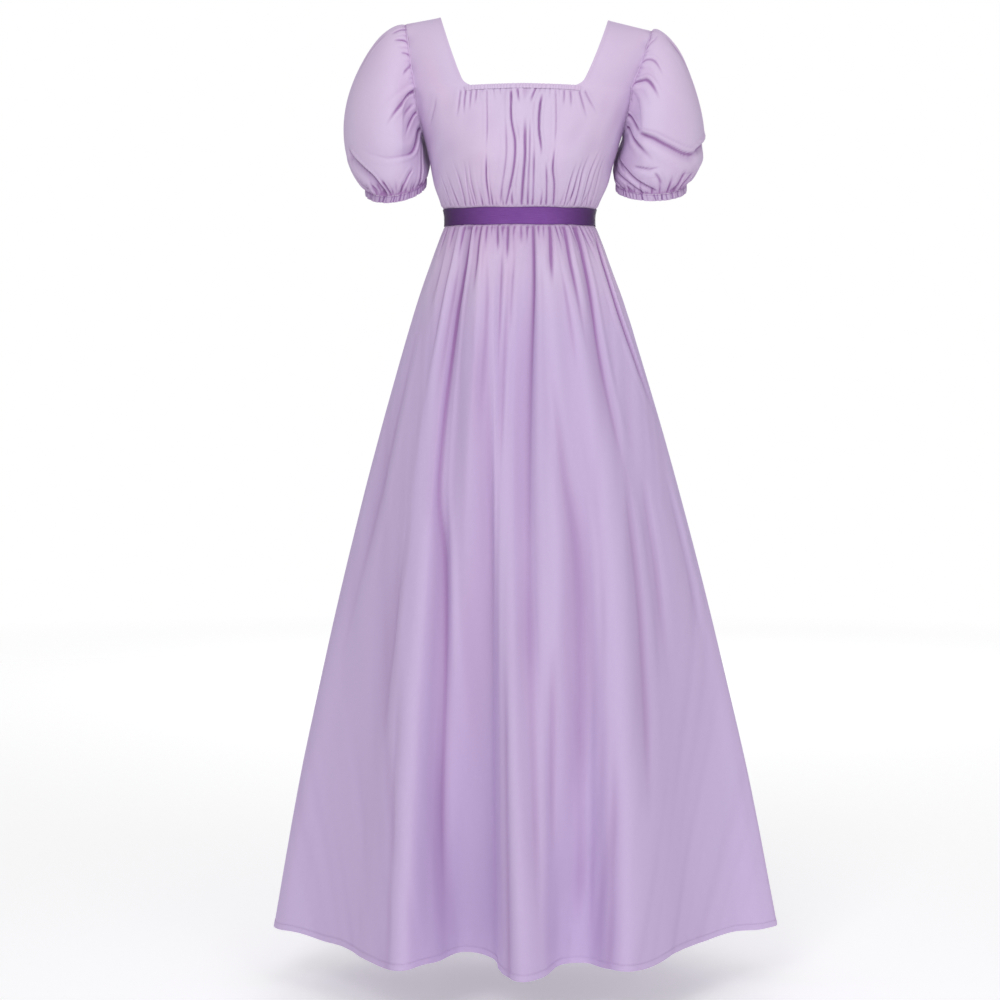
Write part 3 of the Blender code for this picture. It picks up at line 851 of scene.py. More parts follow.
@dataclass
class BodicePanel:
    """Front or back of the bodice, from the waist seam to the shoulder ridge.

    Attributes:
        name: Name of the piece and of the node it stands for.
        form: The form that it is worn over.
        front: Whether it is the front panel.
        columns: Steps across.
        rows: Steps from the waist up to the top edge.
        strap_columns: Columns of a strap's outer and inner edges.
        strap_rows: Steps up a strap.
        creases: Long creases, in shares across and drops.
        waist_gathers: Gathers above the ribbon.
        neck_gathers: Gathers below the neck edge.
        cloth_width: Width of the flat cloth, in metres.
        puff: How far the cloth stands out just above the ribbon.
        unrest: Its slow waves, which keep unrest_hold away from the neck edge.
        side_shade: Shade under the arms, from side_part of the way to a side and arm_part down.
        corner_columns: Columns beside a strap's foot that its rounded corner takes in.
        foot_ease: Rise over which a strap leaves the body's slope.
        pull: Height, waves a strap, start and width of the small pulls along the armhole.
        strap_fades: Shares of a strap, at its foot and its ridge, over which its relief fades.
    """

    name: str
    form: WornForm
    front: bool
    columns: int
    rows: int
    strap_columns: tuple[int, int]
    strap_rows: int
    creases: tuple[Crease, ...]
    waist_gathers: tuple[Gather, ...]
    neck_gathers: tuple[Gather, ...]
    thickness: float = 0.8
    cloth_width: float = 0.62
    puff: float = 2.2
    puff_length: float = 60.0
    gather_rise: float = 6.0
    neck_rise: float = 3.0
    gather_gain: float = 1.1
    unrest: Wave = Wave(0.5, 46)
    unrest_hold: float = 12.0
    unrest_seed: int = 11
    seam: SideSeam = SideSeam(0.7, 2.2, 14.0)
    edge_roll: float = 0.5
    edge_width: float = 3.0
    pull: tuple[float, float, float, float] = (0.45, 19, 1.3, 9)
    strap_fades: tuple[float, float] = (0.12, 0.05)
    full_depth: float = 5.0
    tight_depth: float = 2.0
    strap_full_depth: float = 4.0
    strap_tight_depth: float = 1.7
    waist_shade: float = 0.14
    shade_length: float = 42.0
    side_shade: float = 0.35
    side_part: Ramp = Ramp(0.8, 0.2)
    arm_part: Ramp = Ramp(130, 60)
    corner_columns: int = 10
    corner_rise: float = 0.07
    strap_growth: float = 1.5
    foot_ease: float = 9.0

    @property
    def first_turn(self) -> float:
        """Turn of the panel's first column."""
        return 180.0 if self.front else 0.0

    def base_grid(self) -> tuple[Array, Array, Array]:
        """The panel's body without its creases.

        Returns:
            Points, shares across and drops.
        """
        inset = self.form.seam_gap / 2 / (math.pi * self.form.sections[4].left)
        shares = np.linspace(0, 1, self.columns + 1)
        shares[0], shares[-1] = inset, 1 - inset
        across, up = np.meshgrid(shares, np.linspace(0, 1, self.rows + 1))
        turn = self.first_turn + 180 * across
        bottom = self.form.waist_seam - self.form.seam_gap / 2
        drop = bottom + (self.form.top_drop(turn, self.front) - bottom) * up
        return self.form.point(turn, drop), across, drop

    def relief(self, chart: Chart, top: Array) -> Array:
        """Creases, gathers, seams and rolled edges of the body.

        Args:
            chart: The body's flat map.
            top: Drop of the top edge, one a grid point.

        Returns:
            Millimetres out of the form.
        """
        above = self.form.ribbon_top - chart.down
        below = chart.down - top
        grow = smooth_step(above / self.gather_rise)
        relief = chart.creases(self.creases) * grow
        relief += self.gather_gain * chart.gathers(self.waist_gathers, np.maximum(above, 0),
                                                   self.gather_rise)
        relief += self.puff * grow * (1 - smooth_step(above / self.puff_length))
        relief += self.gather_gain * chart.gathers(self.neck_gathers, np.maximum(below, 0),
                                                   self.neck_rise)
        waves = wobble(*chart.flat(0.5), self.unrest.length, self.unrest_seed)
        relief += self.unrest.height * waves * grow * smooth_step(below / self.unrest_hold)
        return chart.sewn(relief, self.seam, grow)

    def build(self, material: bpy.types.Material) -> bpy.types.Object:
        """Make the panel with its two strap ends.

        Args:
            material: The gown's cloth.

        Returns:
            The new object.
        """
        base, across, drop = self.base_grid()
        middle = self.columns // 2
        chart = Chart(across, drop, drop[:, middle], row_lengths(base, False))
        top = self.form.top_drop(self.first_turn + 180 * across, self.front)
        relief = self.relief(chart, top)
        height = (self.form.waist_seam - drop) * MM
        places = np.stack((across * self.cloth_width, height), -1)
        shell = Shell(self.thickness)
        above = self.form.ribbon_top - drop
        under_arm = self.side_part.at(np.abs(2 * across - 1)) * self.arm_part.at(drop)
        shade = shade_of(relief, self.full_depth, self.tight_depth)
        shade += self.waist_shade * (1 - smooth_step(above / self.shade_length))
        shade += self.side_shade * under_arm
        numbers = shell.add_grid(raised(base, relief), places, np.clip(shade, 0, 1))
        mirrored = tuple(self.columns - column for column in self.strap_columns[::-1])
        for run in (self.strap_columns, mirrored):
            self.add_strap(shell, numbers[-1], run, places[-1])
        return shell.build(self.name, material)

    def add_strap(self, shell: Shell, top_row: Array, run: tuple[int, int], places: Array) -> None:
        """Add one strap end on the body's top row.

        Args:
            shell: The panel in the making.
            top_row: Point numbers of the body's top row.
            run: First and last column of the strap.
            places: The top row's places on the flat cloth.
        """
        first, last = run
        turns = [self.first_turn + 180 * column / self.columns for column in run]
        side = "right" if math.cos(math.radians(turns[0])) > 0 else "left"
        starts_outside = first == self.strap_columns[0]
        outer_turn, inner_turn = turns if starts_outside else turns[::-1]
        lead = 0 if starts_outside else self.corner_columns
        steps = last - first + self.corner_columns
        reached = slice(first - lead, first - lead + steps + 1)
        wide = steps / (last - first)
        share, up = np.meshgrid(np.linspace(0, 1, steps + 1),
                                np.linspace(0, 1, self.strap_rows + 1) ** self.strap_growth)
        facing = share if starts_outside else 1 - share
        shift = self.form.seam_gap / 2 * (-1 if self.front else 1)
        corner = np.clip(1 - up / self.corner_rise, 0, 1) ** 3
        base_drop = self.form.foot_drop(self.front)
        base = self.form.strap_point(STRAPS[side], outer_turn, inner_turn, base_drop, shift,
                                     facing * (1 + (wide - 1) * corner), up)
        foot_turn = outer_turn + (inner_turn - outer_turn) * facing[:1] * wide
        foot, under = (self.form.point(foot_turn, base_drop + step + 0 * facing[:1])
                       for step in (0.0, 1.0))
        risen = base[..., 2] - foot[..., 2]
        ease = risen * np.exp(-risen / self.foot_ease)
        base[..., :2] += (foot - under)[..., :2] * ease[..., None]
        width = row_lengths(base, False)[:, None]
        height, waves, start, reach = self.pull
        rolled = self.edge_roll * bell((1 - facing) * width, self.edge_width)
        pulls = height * np.sin(up * waves + start) * bell(facing * width, reach)
        foot_fade, ridge_fade = self.strap_fades
        relief = (rolled + pulls) * smooth_step(up / foot_fade) * smooth_step((1 - up) / ridge_fade)
        length = lengths_along(base[:, 0])[-1] * MM
        flat = np.stack((places[reached, 0] + 0 * share, places[reached, 1] + up * length), -1)
        shade = shade_of(relief, self.strap_full_depth, self.strap_tight_depth)
        shell.add_grid(raised(base, relief), flat, shade, first_row=top_row[reached])


FRONT_CREASES = (
    Crease(((0.411, 113), (0.397, 172), (0.386, 208)), 1.0, 1.1, 1.2, 0.04, 0.4),
    Crease(((0.388, 200), (0.380, 245), (0.378, 286)), 1.9, 1.2, 1.7, 0.4, 0),
    Crease(((0.475, 113), (0.472, 157), (0.481, 194), (0.472, 237), (0.439, 286)), 2.3, 1.2, 2.2,
           0.04, 0),
    Crease(((0.489, 112), (0.491, 122), (0.493, 136)), 1.7, 1.2, 1.2, 0.1, 0.6),
    Crease(((0.506, 150), (0.506, 190), (0.506, 215), (0.500, 259), (0.497, 286)), 2.6, 1.3, 1.6,
           0.3, 0.05),
    Crease(((0.531, 110), (0.522, 124), (0.518, 136)), 1.7, 1.2, 1.2, 0.1, 0.6),
    Crease(((0.547, 116), (0.542, 148), (0.544, 175), (0.553, 201), (0.553, 216)), 2.9, 1.4, 1.6,
           0.2, 0.35),
    Crease(((0.580, 112), (0.592, 157), (0.597, 201)), 0.9, 1.1, 1.2, 0.05, 0.3),
    Crease(((0.597, 192), (0.597, 229), (0.610, 252), (0.624, 286)), 2.4, 1.4, 1.9, 0.4, 0),
    Crease(((0.455, 150), (0.452, 215), (0.418, 286)), 1.0, 1.4, 2.0, 0.3, 0),
    Crease(((0.517, 150), (0.518, 215), (0.517, 286)), 1.2, 1.2, 1.5, 0.3, 0),
    Crease(((0.531, 186), (0.533, 240), (0.536, 286)), 1.5, 1.4, 1.6, 0.4, 0),
    Crease(((0.569, 215), (0.580, 250), (0.592, 286)), 1.7, 1.5, 1.8, 0.4, 0),
    Crease(((0.240, 121), (0.200, 142), (0.140, 168)), 0.8, 1.7, 2.0, 0.3, 0.4),
    Crease(((0.672, 286), (0.672, 248), (0.689, 214)), 1.6, 1.6, 2.6, 0, 0.6),
    Crease(((0.700, 286), (0.697, 246), (0.716, 206)), 1.5, 1.5, 2.4, 0, 0.6),
    Crease(((0.728, 286), (0.719, 238), (0.744, 200)), 1.9, 1.7, 2.8, 0, 0.6),
    Crease(((0.768, 286), (0.757, 238), (0.797, 192)), 1.8, 1.7, 2.8, 0, 0.6),
    Crease(((0.806, 286), (0.784, 240), (0.815, 200)), 1.3, 1.5, 2.4, 0, 0.6),
    Crease(((0.844, 286), (0.816, 234), (0.842, 200)), 1.6, 1.6, 2.6, 0, 0.6),
    Crease(((0.318, 286), (0.316, 246), (0.312, 212)), 1.5, 1.6, 2.4, 0, 0.6),
    Crease(((0.289, 286), (0.297, 240), (0.290, 210)), 1.1, 1.5, 2.2, 0, 0.6),
    Crease(((0.259, 286), (0.264, 246), (0.236, 210)), 1.5, 1.6, 2.6, 0, 0.6),
    Crease(((0.215, 286), (0.206, 250), (0.186, 222)), 1.1, 1.5, 2.2, 0, 0.6),
    Crease(((0.161, 286), (0.160, 252), (0.148, 224)), 1.3, 1.6, 2.4, 0, 0.6),
    Crease(((0.334, 113), (0.316, 134), (0.290, 160)), 1.2, 1.6, 2.4, 0.1, 0.6),
    Crease(((0.350, 113), (0.337, 130), (0.322, 154)), 1.3, 1.4, 2.2, 0.1, 0.6),
    Crease(((0.366, 113), (0.357, 128), (0.345, 148)), 1.1, 1.3, 1.8, 0.1, 0.6),
    Crease(((0.382, 113), (0.376, 124), (0.366, 140)), 1.0, 1.3, 1.7, 0.1, 0.6),
    Crease(((0.648, 113), (0.668, 132), (0.702, 160)), 1.3, 1.5, 2.4, 0.1, 0.6),
    Crease(((0.664, 113), (0.694, 130), (0.740, 152)), 1.2, 1.6, 2.4, 0.1, 0.6),
    Crease(((0.622, 113), (0.629, 126), (0.637, 146)), 1.2, 1.3, 1.8, 0.1, 0.6),
    Crease(((0.604, 113), (0.607, 122), (0.611, 140)), 1.0, 1.2, 1.6, 0.1, 0.6),
)
FRONT_WAIST_GATHERS = (
    Gather(0.106, 1.4, 21, 1.6), Gather(0.156, 2.1, 30, 1.6, -0.10),
    Gather(0.190, 1.5, 19, 1.5), Gather(0.219, 2.2, 38, 1.7, -0.08),
    Gather(0.256, 1.7, 24, 1.6), Gather(0.282, 1.3, 16, 1.3), Gather(0.306, 2.3, 50, 1.9),
    Gather(0.328, 1.4, 18, 1.4), Gather(0.347, 2.0, 32, 1.6), Gather(0.389, 2.3, 45, 1.8),
    Gather(0.408, 1.4, 16, 1.3), Gather(0.431, 2.2, 35, 1.7), Gather(0.465, 2.3, 48, 1.7),
    Gather(0.484, 1.5, 21, 1.4), Gather(0.516, 2.0, 32, 1.6), Gather(0.533, 1.4, 18, 1.3),
    Gather(0.567, 2.3, 42, 1.7), Gather(0.588, 1.4, 19, 1.4), Gather(0.648, 1.5, 24, 1.5, 0.14),
    Gather(0.687, 2.2, 45, 1.6, 0.20), Gather(0.720, 1.8, 27, 1.5, 0.20),
    Gather(0.772, 2.1, 40, 1.6, 0.22), Gather(0.826, 2.0, 32, 1.6, 0.16),
    Gather(0.868, 1.4, 19, 1.4, 0.10), Gather(0.905, 1.6, 22, 1.5),
) + scattered_gathers(5, 72, 0.05, 0.95, 1.0, 16, 1.1)
FRONT_NECK_GATHERS = (
    Gather(0.398, 0.7, 20, 1.1), Gather(0.428, 0.9, 30, 1.2), Gather(0.447, 0.7, 20, 1.1),
    Gather(0.462, 0.9, 28, 1.2), Gather(0.508, 1.0, 26, 1.2), Gather(0.540, 0.9, 24, 1.2),
    Gather(0.565, 0.9, 30, 1.2),
) + scattered_gathers(8, 58, 0.340, 0.660, 0.55, 20, 0.9)
BACK_CREASES = (
    Crease(((0.500, 104), (0.497, 180), (0.500, 283)), 1.2, 3.0, 3.4, 0.3, 0.1),
    Crease(((0.430, 284), (0.436, 220), (0.444, 160)), 2.4, 3.8, 5.0, 0.05, 0.6),
    Crease(((0.570, 284), (0.562, 230), (0.556, 180)), 2.6, 3.8, 5.0, 0.05, 0.6),
    Crease(((0.300, 284), (0.318, 236), (0.336, 200)), 2.0, 3.6, 4.8, 0.05, 0.6),
    Crease(((0.702, 284), (0.690, 240), (0.676, 190)), 2.2, 3.6, 4.8, 0.05, 0.6),
    Crease(((0.215, 284), (0.230, 246), (0.252, 216)), 1.8, 3.2, 4.4, 0.05, 0.6),
    Crease(((0.790, 284), (0.776, 250), (0.760, 222)), 1.7, 3.2, 4.4, 0.05, 0.6),
    Crease(((0.160, 134), (0.190, 150), (0.226, 160)), 1.6, 3.0, 4.0, 0.2, 0.6),
    Crease(((0.840, 138), (0.812, 152), (0.780, 158)), 1.5, 3.0, 4.0, 0.2, 0.6),
)
BACK_WAIST_GATHERS = (
    Gather(0.12, 1.7, 24, 1.9), Gather(0.18, 2.2, 40, 2.0, 0.1), Gather(0.25, 1.8, 28, 1.9),
    Gather(0.34, 2.4, 50, 2.2), Gather(0.40, 1.8, 26, 1.9), Gather(0.47, 2.2, 44, 2.1),
    Gather(0.53, 1.9, 30, 1.9), Gather(0.61, 2.4, 54, 2.2), Gather(0.66, 1.6, 22, 1.8),
    Gather(0.74, 2.1, 42, 2.1, -0.1), Gather(0.82, 1.8, 30, 1.9), Gather(0.89, 1.7, 24, 1.9),
) + scattered_gathers(15, 52, 0.05, 0.95, 0.75, 13, 1.3)


# ---------------------------------------------------------------------------
# Neck casing and waist ribbon
# ---------------------------------------------------------------------------

@dataclass
class NeckCasing:
    """Narrow gathered casing on the front neck edge.

    Attributes:
        form: The form that it is worn over.
        first_turn: Turn of its first end round the body.
        last_turn: Turn of its last end.
        lift: Gap between its inner face and the bodice at its middle.
        bulge: How far its ruffles stand out.
        end_share: Share of its length over which it flattens at either end.
        ruffles: How many ruffles it has.
        unevenness: Size and pace of the waves that make the ruffles uneven.
        least_swell: Share of the bulge that stays between the ruffles.
        edge_wave: How far its edges rise and fall with the ruffles.
        ruffle_shade: Shade between the ruffles.
    """

    form: WornForm
    name: str = "neck_casing"
    columns: int = 300
    rows: int = 8
    first_turn: float = 242.5
    last_turn: float = 297.5
    height: float = 7.0
    lift: float = 0.1
    bulge: float = 0.45
    end_share: float = 0.12
    thickness: float = 0.35
    clear: float = 0.12
    ruffles: int = 38
    unevenness: tuple[tuple[float, float], ...] = ((2.2, 23), (1.1, 51))
    roundness: float = 0.8
    least_swell: float = 0.35
    edge_wave: float = 0.5
    ruffle_shade: float = 0.2
    cloth_width: float = 0.21
    cloth_height: float = 0.016

    def surface(self) -> tuple[Array, Array, Array, Array]:
        """Points of the casing's outer face.

        Returns:
            Points, shares across and up, and how full its ruffles are there.
        """
        across, up = np.meshgrid(np.linspace(0, 1, self.columns + 1),
                                 np.linspace(0, 1, self.rows + 1))
        turn = self.first_turn + (self.last_turn - self.first_turn) * across
        top = self.form.top_drop(turn, True)
        drop = top + self.height * (1 - up)
        base = self.form.point(turn, drop)
        phase = 2 * math.pi * self.ruffles * across
        for size, pace in self.unevenness:
            phase = phase + size * np.sin(across * pace)
        ruffle = 0.5 + 0.5 * np.sin(phase)
        swell = np.sin(math.pi * up) ** self.roundness
        fullness = self.least_swell + (1 - self.least_swell) * ruffle
        ends = smooth_step(np.minimum(across, 1 - across) / self.end_share)
        proud = self.thickness + self.clear + ends * (self.lift + self.bulge * swell * fullness)
        points = raised(base, proud)
        points[..., 2] += self.edge_wave * (ruffle - 0.5) * (2 * up - 1)
        return points, across, up, ruffle

    def build(self, material: bpy.types.Material) -> bpy.types.Object:
        """Make the casing.

        Args:
            material: The casings' cloth.

        Returns:
            The new object.
        """
        points, across, up, ruffle = self.surface()
        places = np.stack((across * self.cloth_width, up * self.cloth_height), -1)
        shade = self.ruffle_shade * (1 - ruffle) ** 2
        return sheet_of(self.name, self.thickness, points, places, shade, material)


@dataclass
class WaistRibbon:
    """Plain satin band that covers the high waist seam.

    Its painted shade layer grows where the band turns away to a side, and darkens the satin there.

    Attributes:
        form: The form that it is worn over.
        lift: How far its outer face stands off the form.
        selvedge: How far its woven edges stand out, over their width.
        side_turn: How late the painted shade towards the sides sets in.
        unrest: How deep its slow hollows are.
        hollows: How many there are, and the size and pace of what makes them uneven.
        ride: How far its edges ride up and down, how often, and from where.
    """

    form: WornForm
    name: str = "waist_ribbon"
    columns: int = 480
    rows: int = 14
    lift: float = 1.35
    thickness: float = 0.7
    selvedge: float = 0.22
    selvedge_width: float = 0.9
    side_turn: float = 1.7
    unrest: float = 0.25
    hollows: tuple[int, int, int] = (17, 2, 3)
    ride: tuple[float, int, float] = (0.35, 9, 1.0)

    @property
    def height(self) -> float:
        """Height of the ribbon."""
        return self.form.ribbon_bottom - self.form.ribbon_top

    def build(self, material: bpy.types.Material) -> bpy.types.Object:
        """Make the ribbon as one closed band.

        Args:
            material: The satin.

        Returns:
            The new object.
        """
        across, up = np.meshgrid(np.arange(self.columns) / self.columns,
                                 np.linspace(0, 1, self.rows + 1))
        around = 2 * math.pi * across
        girth = 2 * math.pi * self.form.sections[6].left
        size, waves, start = self.ride
        drop = self.form.ribbon_bottom - self.height * up
        drop = drop + size * np.sin(around * waves + start) * (2 * up - 1)
        base = self.form.point(180 + 360 * across, drop)
        count, sway, pace = self.hollows
        hollow = 0.5 + 0.5 * np.sin(around * count + sway * np.sin(around * pace))
        from_edge = np.minimum(up, 1 - up) * self.height
        proud = self.lift + self.selvedge * bell(from_edge, self.selvedge_width)
        proud = proud - self.unrest * hollow * np.sin(math.pi * up) ** 2
        places = np.stack((across * girth * MM, up * self.height * MM), -1)
        # Painted shade, darker as the band turns away to either side
        to_side = np.abs(np.cos(around)) ** self.side_turn
        return sheet_of(self.name, self.thickness, raised(base, proud, True), places, to_side,
                        material, True)


# ---------------------------------------------------------------------------
# Skirt
# ---------------------------------------------------------------------------

class Flare(NamedTuple):
    """Half width of the skirt at a drop."""

    drop: float
    reach: float


class Fold(NamedTuple):
    """Where a fold of the skirt runs at mid skirt and at the hem."""

    mid_x: float
    mid_y: float
    hem_x: float
    hem_y: float


@dataclass
class SkirtForm:
    """The hanging form that both skirt panels share.

    Attributes:
        form: The form of the body above it.
        flare: Half widths down the skirt.
        front_folds: The front's folds, from the left side seam to the right one.
        back_folds: The back's folds, from the right side seam round to the left one.
        mid_drop: Drop of the folds' middle places.
        hem: Drop of the hem.
        side_seam_turn: Turn of the right side seam at the waist.
        curve_samples: Steps from fold to fold when the hem's length is taken.
    """

    form: WornForm
    flare: tuple[Flare, ...] = (
        Flare(308, 111), Flare(352, 129), Flare(424, 155), Flare(566, 198), Flare(710, 238),
        Flare(855, 275), Flare(1000, 309), Flare(1146, 341), Flare(1363, 381),
    )
    front_folds: tuple[Fold, ...] = (
        Fold(-265, 2, -376, 6),
        Fold(-259, -28, -362, -30),
        Fold(-234, -68, -310, -76),
        Fold(-194, -126, -252, -158),
        Fold(-166, -168, -204, -256),
        Fold(-142, -184, -168, -284),
        Fold(-114, -172, -134, -240),
        Fold(-84, -186, -90, -176),
        Fold(-48, -182, -44, -206),
        Fold(-32, -200, -28, -308),
        Fold(-16, -206, -2, -350),
        Fold(8, -196, 28, -318),
        Fold(48, -206, 54, -248),
        Fold(86, -188, 92, -228),
        Fold(118, -196, 118, -276),
        Fold(146, -184, 152, -291),
        Fold(178, -144, 200, -226),
        Fold(220, -92, 256, -114),
        Fold(249, -44, 318, -42),
        Fold(262, -18, 366, -14),
        Fold(267, 2, 388, 8),
    )
    back_folds: tuple[Fold, ...] = (
        Fold(262, 30, 376, 46),
        Fold(246, 62, 332, 92),
        Fold(222, 96, 276, 124),
        Fold(196, 138, 240, 206),
        Fold(176, 156, 208, 238),
        Fold(148, 150, 168, 194),
        Fold(118, 178, 132, 262),
        Fold(94, 188, 102, 292),
        Fold(56, 172, 60, 214),
        Fold(24, 192, 24, 284),
        Fold(2, 197, -6, 304),
        Fold(-34, 174, -50, 216),
        Fold(-66, 188, -84, 280),
        Fold(-90, 188, -112, 292),
        Fold(-130, 156, -156, 200),
        Fold(-164, 156, -196, 244),
        Fold(-188, 142, -230, 226),
        Fold(-222, 98, -284, 128),
        Fold(-246, 62, -332, 88),
        Fold(-262, 32, -366, 46),
    )
    mid_drop: float = 820.0
    hem: float = 1363.0
    side_seam_turn: float = 350.0
    curve_samples: int = 24

    @property
    def top(self) -> float:
        """Drop of the skirt's top edge."""
        return self.form.waist_seam + self.form.seam_gap / 2

    def point(self, first_place: float, last_place: float, first_turn: float, last_turn: float,
              across: Array, drop: Array) -> Array:
        """Points of one panel between two side seams.

        Args:
            first_place: The fold where the panel starts, counted round the hem.
            last_place: The fold where it ends.
            first_turn: Turn of its first column at the waist.
            last_turn: Turn of its last column at the waist.
            across: Share across the panel.
            drop: Millimetres below the shoulders.

        Returns:
            Points in millimetres.
        """
        folds = np.array(self.front_folds + self.back_folds, dtype=float)
        middle, hem = folds[:, :2], folds[:, 2:]
        places = np.linspace(0, len(folds), len(folds) * self.curve_samples + 1)
        lengths = lengths_along(closed_curve(hem, places))
        start, end = np.interp((first_place, last_place), places, lengths)
        place = np.interp(start + (end - start) * across, lengths, places)
        waist_reach, hem_reach = self.flare[0].reach, self.flare[-1].reach
        span = hem_reach - waist_reach
        mid_share, share = ((smooth_column(self.flare, "drop", "reach", at) - waist_reach) / span
                            for at in (self.mid_drop, drop))
        share = share[..., None]
        turn = first_turn + (last_turn - first_turn) * across
        waist = self.form.point(turn, self.form.ribbon_bottom + 0 * drop)[..., :2]
        plan = (
            waist * (share - mid_share) * (share - 1) / mid_share
            + closed_curve(middle, place) * share * (share - 1) / (mid_share * (mid_share - 1))
            + closed_curve(hem, place) * share * (share - mid_share) / (1 - mid_share)
        )
        hanging = np.concatenate((plan, -drop[..., None]), -1)
        under_ribbon = self.form.point(turn, drop)
        return np.where((drop <= self.form.ribbon_bottom)[..., None], under_ribbon, hanging)


@dataclass
class SkirtPanel:
    """Front or back of the skirt, gathered into the waist seam and hemmed.

    Attributes:
        name: Name of the piece and of the node it stands for.
        hanging: The form that both panels share.
        front: Whether it is the front panel.
        columns: Steps across.
        creases: Long creases, in shares across and drops.
        gathers: Gathers below the ribbon.
        seed: Picks the patterns of its unrest.
        hem_rows: Heights of the closer rows above the hem, which carry its fold and stitches.
        waves: Its slow waves below the gathers.
        streak: Fine streaks that run down from the gathers and end at mid skirt.
        tight_depths: Depth of a shut narrow trough, above and below tight_part.
        hollow_range: Least and most share of fold_depth that counts as a ridge or a valley.
        fold_shade: Shade in the long valleys, which low_light takes back near the hem.
        skirt_shade: Shade that the side seams don't have.
        cool_light_part: Where the painted cooler light comes in, down from the waist.
        points: The outer face's points, once it is built.
        normals: Their outward directions.
        drops: Drop of each row.
        lengths: Length of each row before its creases.
    """

    name: str
    hanging: SkirtForm
    front: bool
    columns: int
    creases: tuple[Crease, ...]
    gathers: tuple[Gather, ...]
    seed: int
    thickness: float = 0.8
    rows: int = 112
    row_growth: float = 1.35
    hem_rows: tuple[float, ...] = (1.2, 2.6, 4.4, 6.4, 8.2, 9.6, 11.0, 13.5, 17.0, 22.0)
    hem_row_gap: float = 4.0
    hem_height: float = 9.0
    hem_swell: float = 0.45
    hem_edge: Ramp = Ramp(-0.6, 1.2)
    hem_dip: float = 0.45
    hem_dip_width: float = 1.1
    hem_unrest: Wave = Wave(2.4, 120, 0)
    hem_part: float = 150.0
    hem_side_hold: float = 60.0
    puff: float = 2.2
    puff_length: float = 60.0
    gather_rise: float = 5.0
    gather_gain: float = 1.5
    waves: tuple[Wave, ...] = (Wave(1.0, 95, 0.10), Wave(0.4, 38, 0.12))
    wave_part: Ramp = Ramp(30, 200)
    streak: Wave = Wave(0.22, 15, 0.03)
    streak_start: Ramp = Ramp(10, 60)
    streak_end: Ramp = Ramp(260, 300)
    full_depth: float = 8.0
    tight_depths: tuple[float, float] = (2.0, 8.0)
    tight_part: Ramp = Ramp(320, 350)
    fold_share: float = 0.055
    fold_depth: float = 12.0
    hollow_range: tuple[float, float] = (-0.4, 1.0)
    fold_shade: float = 0.13
    low_light: float = 0.25
    low_part: Ramp = Ramp(850, 300)
    waist_shade: float = 0.26
    skirt_shade: float = 0.10
    side_part: Ramp = Ramp(0.28, 0.2)
    cool_light_part: Ramp = Ramp(330, 170)
    seam: SideSeam = SideSeam(1.0, 2.6, 24.0)
    points: Optional[Array] = None
    normals: Optional[Array] = None
    drops: Optional[Array] = None
    lengths: Optional[Array] = None

    def build(self, material: bpy.types.Material) -> bpy.types.Object:
        """Make the panel.

        Args:
            material: The gown's cloth.

        Returns:
            The new object.
        """
        base, across, drop = self.base_grid()
        self.lengths = row_lengths(base, False)
        chart = Chart(across, drop, self.drops, self.lengths)
        relief = self.relief(chart)
        self.points = self.settled(raised(base, relief), chart)
        self.normals = grid_normals(self.points, False)
        places = np.stack((across * self.lengths[0] * MM, (self.hanging.hem - drop) * MM), -1)
        shade = self.shade(chart, base, relief)
        piece = sheet_of(self.name, self.thickness, self.points, places, shade, material)
        # Painted cooler light, growing down the skirt from its waist
        add_layer(piece.data, COOL_LIGHT_LAYER, np.tile(self.cool_light_part.at(drop).ravel(), 2))
        return piece

    def base_grid(self) -> tuple[Array, Array, Array]:
        """The panel without its creases, with closer rows at its waist and its hem.

        Returns:
            Points, shares across and drops.
        """
        hanging = self.hanging
        share = np.linspace(0, 1, self.rows + 1) ** self.row_growth
        drops = hanging.top + (hanging.hem - hanging.top) * share
        near_hem = hanging.hem - np.array(self.hem_rows)
        drops = drops[(drops < near_hem.min() - self.hem_row_gap) | (drops == hanging.hem)]
        self.drops = np.sort(np.concatenate((drops, near_hem)))[::-1]
        across, drop = np.meshgrid(np.linspace(0, 1, self.columns + 1), self.drops)
        last_front = len(hanging.front_folds) - 1
        last_back = last_front + len(hanging.back_folds) + 1
        ends = (0, last_front) if self.front else (last_front, last_back)
        seam_turn = hanging.side_seam_turn
        turns = (180.0, seam_turn) if self.front else (seam_turn, 540.0)
        return hanging.point(*ends, *turns, across, drop), across, drop

    def settled(self, points: Array, chart: Chart) -> Array:
        """Let the hem rise and fall, and part the panel from its neighbour at the side seams.

        Args:
            points: The creased panel.
            chart: Its flat map.

        Returns:
            The points where they end up.
        """
        first, _ = chart.flat(0.5)
        near_hem = Ramp(self.hanging.hem - self.hem_part, self.hem_part).at(chart.down)
        from_side = np.minimum(chart.across, 1 - chart.across) * self.lengths[0]
        unrest = self.hem_unrest
        points[..., 2] += unrest.height * wobble(
            first, unrest.slant * first, unrest.length, self.seed) * near_hem * smooth_step(
                from_side / self.hem_side_hold)
        half_gap = self.hanging.form.seam_gap / 2
        for edge, inside in ((0, 1), (-1, -2)):
            points[:, edge] += unit(points[:, inside] - points[:, edge]) * half_gap
        return points

    def shade(self, chart: Chart, base: Array, relief: Array) -> Array:
        """How dark the cloth is painted where light doesn't reach it: painted shade.

        Args:
            chart: The panel's flat map.
            base: Its points without creases.
            relief: Its creases.

        Returns:
            The painted shade layer's values, which may pass 0 or 1.
        """
        drop = chart.down
        loose, slack = self.tight_depths
        tight = loose + (slack - loose) * self.tight_part.at(drop)
        hollow = np.clip(hollow_of(base, self.fold_share) / self.fold_depth, *self.hollow_range)
        below = drop - self.hanging.form.ribbon_bottom
        shade = shade_of(relief, self.full_depth, tight) + self.fold_shade * hollow
        shade -= self.low_light * self.low_part.at(drop) * np.maximum(hollow, 0)
        shade += self.waist_shade * (1 - smooth_step(below / self.puff_length))
        to_side = self.side_part.at(np.abs(chart.across - 0.5))
        return shade + self.skirt_shade * (1 - to_side)

